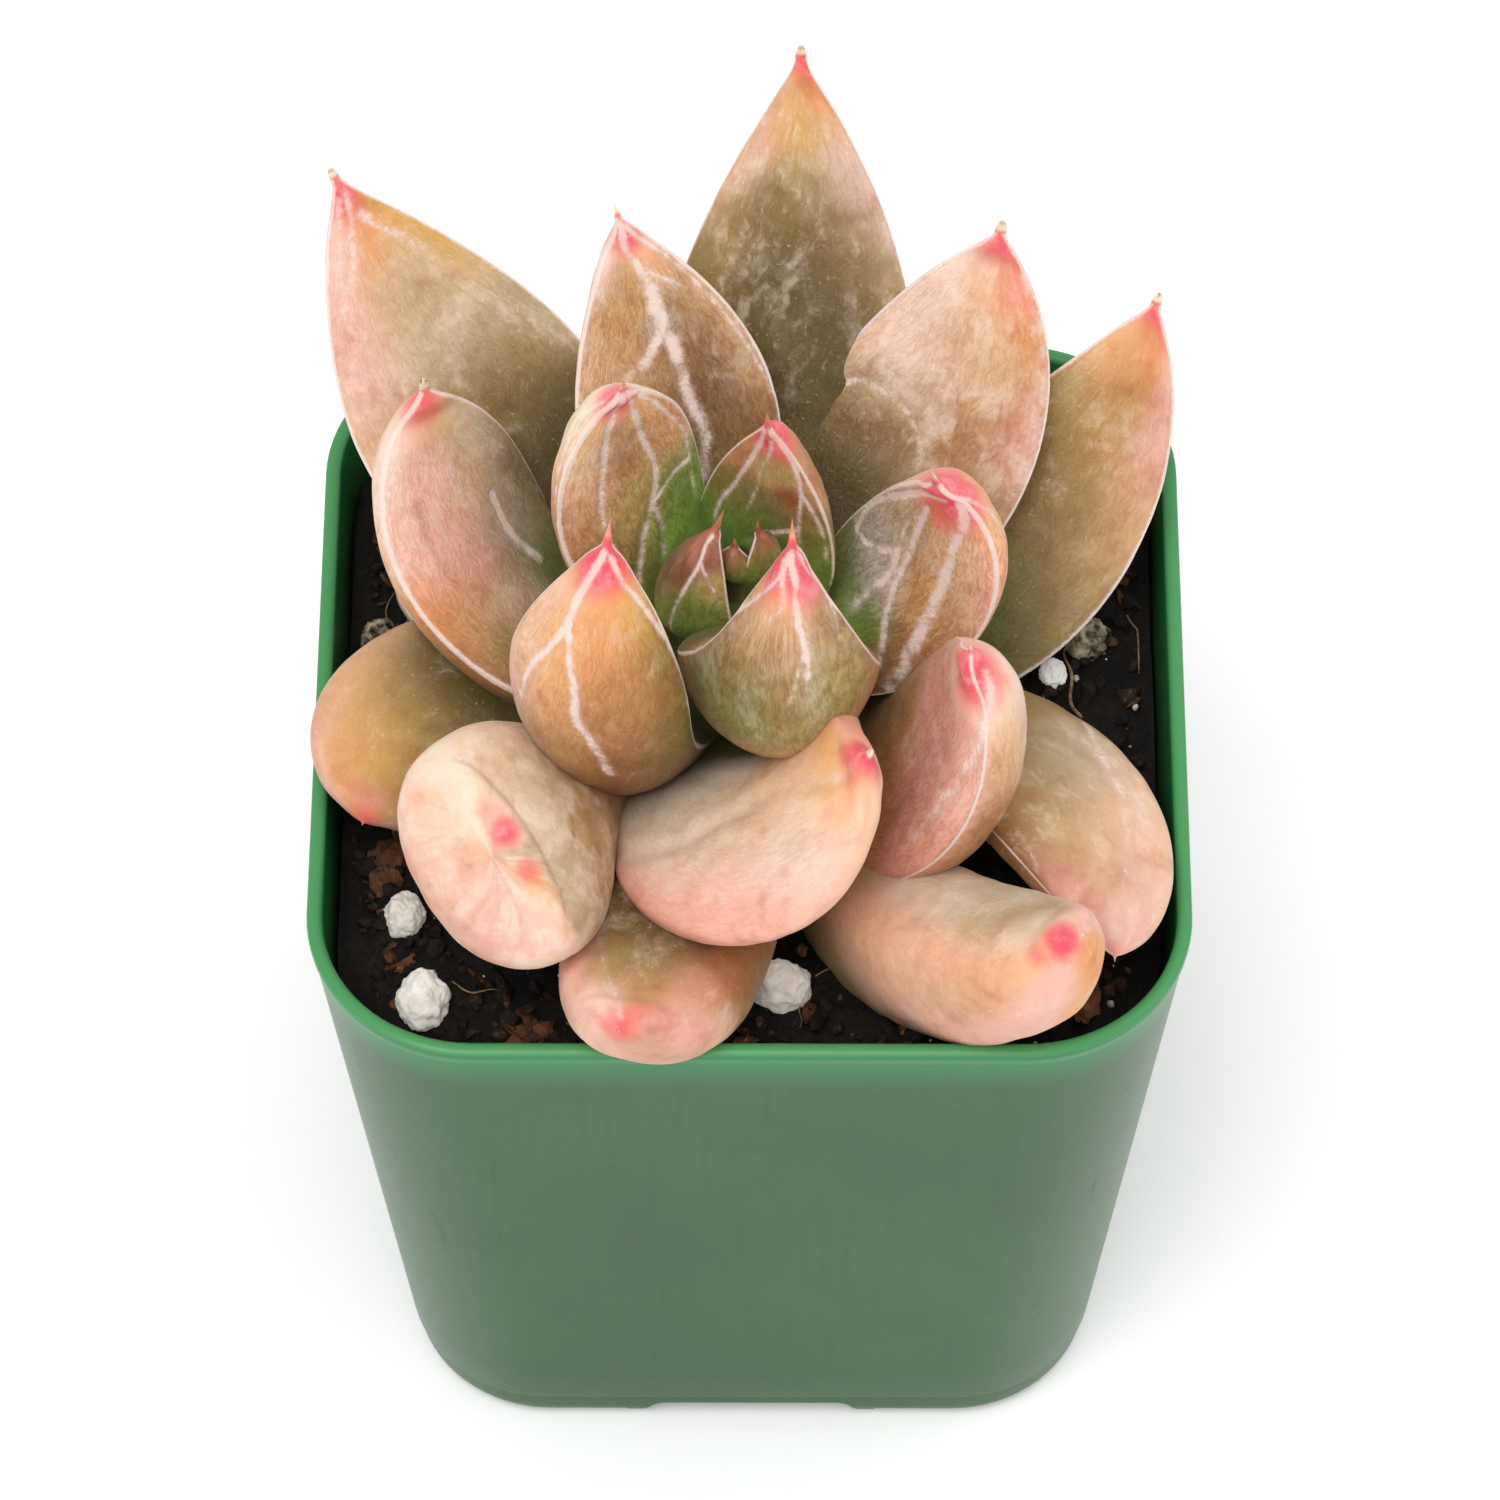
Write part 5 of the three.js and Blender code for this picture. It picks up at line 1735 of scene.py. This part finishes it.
@dataclass
class Soil:
    """Dark peat with crumbs, bark flecks and fine roots over its top."""

    pot: Pot
    drop: float = 5.0
    swell: float = 0.55
    gap: float = 0.3
    rows: int = 120
    forms: int = 14
    fibres: int = 46
    fibre_steps: int = 22
    fibre_sides: int = 6
    seed: int = 11

    @property
    def level(self) -> float:
        """The mean level of the bed, in millimetres above the bench."""
        return RIM_HEIGHT - self.drop

    def height(self, x: float, y: float) -> float:
        """The bed's own level at a place.

        Args:
            x: Millimetres to the right.
            y: Millimetres to the back.

        Returns:
            Millimetres above the bench.
        """
        broad = math.sin(x * 0.52 + 1.3) * math.cos(y * 0.47 - 0.4) + 0.6 * math.sin(x * 0.9 - y * 0.7)
        place = Vector((x, y, 0))
        lump = noise.fractal(place * 0.55, 0.8, 2.1, 4)
        cell = noise.voronoi(place * 0.75)[0][0]
        return self.level + self.swell * broad / 1.6 + 0.55 * lump - 0.5 * (cell - 0.4)

    def bed(self) -> None:
        """The plug of mix with its crumbly top."""
        earth = GrainFinish("peat_bed", "070504", "15100c", "33261b", 650.0, 0.95, 0.0004).build()
        pot, inset = self.pot, -self.pot.wall - self.gap
        edge = pot.ring(self.level, inset)[:, :2]
        rings = [pot.ring(pot.channel_height + pot.floor + 2 * self.gap, inset - 1)]
        rings += [pot.ring(8, inset), pot.ring(self.level - 2, inset)]
        for row in range(self.rows):
            flat = edge * (1 - row / self.rows)
            rings.append(np.column_stack([flat, [self.height(float(x), float(y)) for x, y in flat]]))
        bed = pot.loft("visual_soil", rings, earth)
        bed.data.set_sharp_from_angle(angle=math.radians(75))
        place_piece(bed, "soil", "soil")

    def spot(self, dice: np.random.Generator, inside: float) -> tuple[float, float]:
        """A random place on the soil, more often near the wall, where it shows.

        Args:
            dice: The source of chance.
            inside: Millimetres to keep from the wall.

        Returns:
            Millimetres to the right and to the back.
        """
        half = self.pot.rim_width / 2 - self.pot.wall - inside
        while True:
            x, y = dice.uniform(-half, half, 2)
            square = (abs(x) ** 5 + abs(y) ** 5) ** 0.2
            if square < half and dice.uniform() < 0.25 + 0.75 * (square / half) ** 2:
                return float(x), float(y)

    def scatter(self, litter: Litter, dice: np.random.Generator) -> None:
        """Strews one kind of litter over the bed.

        Args:
            litter: The kind.
            dice: The source of chance.
        """
        points, faces, start = [], [], 0
        forms = [litter.shape.points(1.0, self.seed + index) for index in range(self.forms)]
        for _ in range(litter.count):
            form, skin = forms[int(dice.integers(len(forms)))]
            size = litter.least + (litter.most - litter.least) * dice.uniform() ** 2.6
            turn = Euler(dice.uniform(-1, 1, 3) * np.array([0.9, 0.9, 3.14])).to_matrix()
            stretch = np.array([1.0, dice.uniform(0.45, 1.0), dice.uniform(litter.flat, 1.0)])
            x, y = self.spot(dice, 1.2 + size)
            lump = (form * stretch * size) @ np.array(turn).T
            points.append(lump + np.array([x, y, self.height(x, y) + size * 0.25]))
            faces += [tuple(corner + start for corner in face) for face in skin]
            start += len(lump)
        place_piece(make_mesh(litter.name, np.vstack(points), faces, litter.finish.build(), 50), litter.slot)

    def fibre(self, dice: np.random.Generator, index: int) -> Array:
        """One fine root or dry fibre lying over the bed.

        Args:
            dice: The source of chance.
            index: Its number.

        Returns:
            The points of its rings, and then its two ends.
        """
        x, y = self.spot(dice, 2.0)
        heading = dice.uniform(0, 2 * math.pi)
        length = dice.uniform(2.0, 6.5)
        radius = dice.uniform(0.035, 0.075) if index % 5 else 0.13
        bend = dice.uniform(-1.6, 1.6)
        limit = self.pot.rim_width / 2 - self.pot.wall - 1.6
        spine = []
        for share in np.arange(self.fibre_steps) / (self.fibre_steps - 1):
            angle = heading + bend * share + 0.35 * math.sin(share * 9 + index)
            if spine:
                x += math.cos(angle) * length / self.fibre_steps
                y += math.sin(angle) * length / self.fibre_steps
            x, y = max(-limit, min(limit, x)), max(-limit, min(limit, y))
            rise = 0.25 + 0.5 * math.sin(math.pi * share) * (0.5 + 0.5 * math.sin(index * 2.4))
            spine.append((x, y, self.height(x, y) * 0.35 + self.level * 0.65 + rise))
        line = np.array(spine)
        run = np.gradient(line, axis=0)
        run /= np.linalg.norm(run, axis=1, keepdims=True) + 1e-9
        side = np.cross(run, [0, 0, 1.0])
        side /= np.linalg.norm(side, axis=1, keepdims=True) + 1e-9
        up = np.cross(side, run)
        turns = (np.arange(self.fibre_sides) / self.fibre_sides * 2 * np.pi)[None, :, None]
        taper = radius * (1 - 0.6 * np.linspace(0, 1, self.fibre_steps) ** 2)
        ring = side[:, None] * np.cos(turns) + up[:, None] * np.sin(turns)
        skin = line[:, None] + taper[:, None, None] * ring
        return np.vstack([skin.reshape(-1, 3), line[[0, -1]]])

    def roots(self) -> None:
        """Lays fine fibres and dry roots across the bed."""
        dice = np.random.default_rng(self.seed + 1)
        threads = [self.fibre(dice, index) for index in range(self.fibres)]
        faces = [
            tuple(corner + index * len(thread) for corner in face)
            for index, thread in enumerate(threads)
            for face in tube_faces(self.fibre_steps, self.fibre_sides)
        ]
        finish = GrainFinish("root_fibre", "5a3f28", "9a7a55", "cdb892", 1200.0, 0.8, 0.0001)
        made = make_mesh("soil_fibres", np.vstack(threads), faces, finish.build(), 80)
        Pot.face_out(made)
        place_piece(made, "soil")

    def dress(self) -> None:
        """Builds the bed and everything loose on it."""
        self.bed()
        dice = np.random.default_rng(self.seed)
        for litter in LITTER:
            self.scatter(litter, dice)
        self.roots()


@dataclass
class Grains:
    """Perlite, bark chips and slow-release pellets, each where its CAD node lies."""

    perlite: tuple[str, ...] = (
        "left", "front_left", "front", "right", "right_small", "back_left", "back", "back_right",
    )
    bark: tuple[str, ...] = ("left", "front", "front_right", "right", "back")
    pellets: tuple[str, ...] = ("left", "front_left")

    def lump(self, node: str, slot: str, shape: Crumb, seed: int, look: bpy.types.Material, turn: float = 0.0) -> None:
        """A lump that fills its CAD node's box.

        Args:
            node: The CAD node.
            slot: The record's material slot.
            shape: The kind of lump.
            seed: Picks the shape.
            look: The finish.
            turn: Degrees about the vertical, for long chips.
        """
        low, high = (np.array(corner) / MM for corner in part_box(node))
        points, faces = shape.points(1.0, seed)
        points = (points * np.array([1.0, 0.6 if turn else 1.0, 1.0])) @ spin(math.radians(turn))
        span = points.max(0) - points.min(0)
        points = (points - points.min(0) - span / 2) * ((high - low) / span) + (low + high) / 2
        place_piece(make_mesh("visual_" + node, points, faces, look, 60), slot, node)

    def dress(self) -> None:
        """Builds every grain and seats it on the frame."""
        # The white perlite glows a little: painted light that keeps it bright.
        white = GrainFinish(
            "perlite_white", "d9d2c6", "f4f1ea", "ffffff", 500.0, 0.8, 0.00012, pores=0.1, painted_glow=0.16
        ).build()
        stained = GrainFinish(
            "perlite_spotted", "241a12", "cfc0a0", "efe6cf", 620.0, 0.88, 0.0003, pores=0.95
        ).build()
        for index, name in enumerate(self.perlite):
            look = stained if name in ("back_left", "right") else white
            self.lump(f"perlite_{name}", "perlite", Crumb(0.16, 1.3, 0.9, 5), 31 + index, look)
        bark = GrainFinish(
            "bark_chip", "2b1a10", "6a4127", "a9764a", 600.0, 0.85, 0.0004, stretch=(1.0, 0.35, 1.0)
        ).build()
        for index, name in enumerate(self.bark):
            self.lump(f"bark_chip_{name}", "bark", Crumb(0.32, 1.5, 0.45, 5), 61 + index, bark, 25.0 + 31 * index)
        shell = GrainFinish("pellet_shell", "b9b08c", "dcd5bb", "f4f0e2", 500.0, 0.5, 0.00008, sheen=0.5).build()
        for index, name in enumerate(self.pellets):
            self.lump(f"pellet_{name}", "pellet", Crumb(0.07, 0.9, 1.0, 5), 91 + index, shell)


@dataclass
class Stem:
    """The short stem and its roots, which the leaves and the mix hide: the CAD solid, dressed in bark."""

    def dress(self) -> None:
        """Gives the CAD stem its finish."""
        bark = GrainFinish("stem_bark", "4d4a2c", "77763f", "a79a6a", 500.0, 0.85, 0.0003, stretch=(1, 1, 0.4)).build()
        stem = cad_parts["stem"]
        for slot in stem.material_slots:
            slot.material = bark
        LOG.info("stem: dressed")


# ---- Studio ----
@dataclass(frozen=True)
class Lamp:
    """A square soft lamp: its place and its side in metres, and its power in watts."""

    name: str
    place: tuple[float, float, float]
    size: float
    power: float

    def hang(self) -> None:
        """Adds the lamp, aimed at the plant."""
        data = bpy.data.lights.new(self.name, "AREA")
        data.size = self.size
        data.energy = self.power
        lamp = bpy.data.objects.new(self.name, data)
        lamp.location = self.place
        aim = Vector((0, 0, RIM_HEIGHT * MM)) - lamp.location
        lamp.rotation_euler = aim.to_track_quat("-Z", "Y").to_euler()
        bpy.context.scene.collection.objects.link(lamp)


@dataclass
class Studio:
    """A pale sweep, a key lamp, a fill lamp and the camera, with lengths in millimetres."""

    key: Lamp = Lamp("lamp_key", (-0.14, -0.32, 0.8), 0.45, 3.4)
    fill: Lamp = Lamp("lamp_fill", (0.45, 0.1, 0.7), 0.5, 0.9)
    world_light: float = 0.7
    floor_half: float = 3000.0
    floor_drop: float = 0.02
    lens: float = 180.65
    distance: float = 466.8
    aim_y: float = -4.78
    elevation: float = 55.38
    azimuth: float = 0.35
    tilt: float = -0.2

    def lay_floor(self) -> None:
        """Lays the sweep under the pot."""
        half = self.floor_half
        corners = [(x, y, -self.floor_drop) for x, y in ((-half, -half), (half, -half), (half, half), (-half, half))]
        make_mesh("studio_floor", np.array(corners), [(0, 1, 2, 3)], StudioPaper().build())

    def light(self) -> None:
        """Lights the world evenly and hangs the lamps."""
        world = bpy.data.worlds.new("studio_world")
        world.use_nodes = True
        background = world.node_tree.nodes["Background"]
        background.inputs["Color"].default_value = (1, 1, 1, 1)
        background.inputs["Strength"].default_value = self.world_light
        bpy.context.scene.world = world
        self.key.hang()
        self.fill.hang()

    def aim(self) -> None:
        """Sets the camera, which looks at the middle of the rim from the front and above."""
        data = bpy.data.cameras.new("camera")
        data.sensor_width = 36
        data.lens = self.lens
        data.clip_start, data.clip_end = 0.01, 20
        camera = bpy.data.objects.new("camera", data)
        rise, turn, roll = (math.radians(angle) for angle in (self.elevation, self.azimuth, self.tilt))
        back = Vector((math.sin(turn) * math.cos(rise), -math.cos(turn) * math.cos(rise), math.sin(rise)))
        right = Vector((math.cos(turn), math.sin(turn), 0))
        up = back.cross(right)
        across = right * math.cos(roll) + up * math.sin(roll)
        above = up * math.cos(roll) - right * math.sin(roll)
        camera.matrix_world = Matrix((across, above, back)).transposed().to_4x4()
        camera.location = (Vector((0, self.aim_y, RIM_HEIGHT)) + back * self.distance) * MM
        bpy.context.scene.collection.objects.link(camera)
        bpy.context.scene.camera = camera
        bpy.context.scene.view_settings.view_transform = "Standard"

    def build(self) -> None:
        """Sets up the floor, the light and the camera."""
        self.lay_floor()
        self.light()
        self.aim()


def main() -> None:
    """Builds each part of the scene in order and reports it."""
    logging.basicConfig(level=logging.INFO, format="%(message)s")
    Studio().build()
    pot = Pot()
    pot.dress()
    Soil(pot).dress()
    Grains().dress()
    Stem().dress()
    Rosette().dress()


if __name__ == "__main__":
    main()
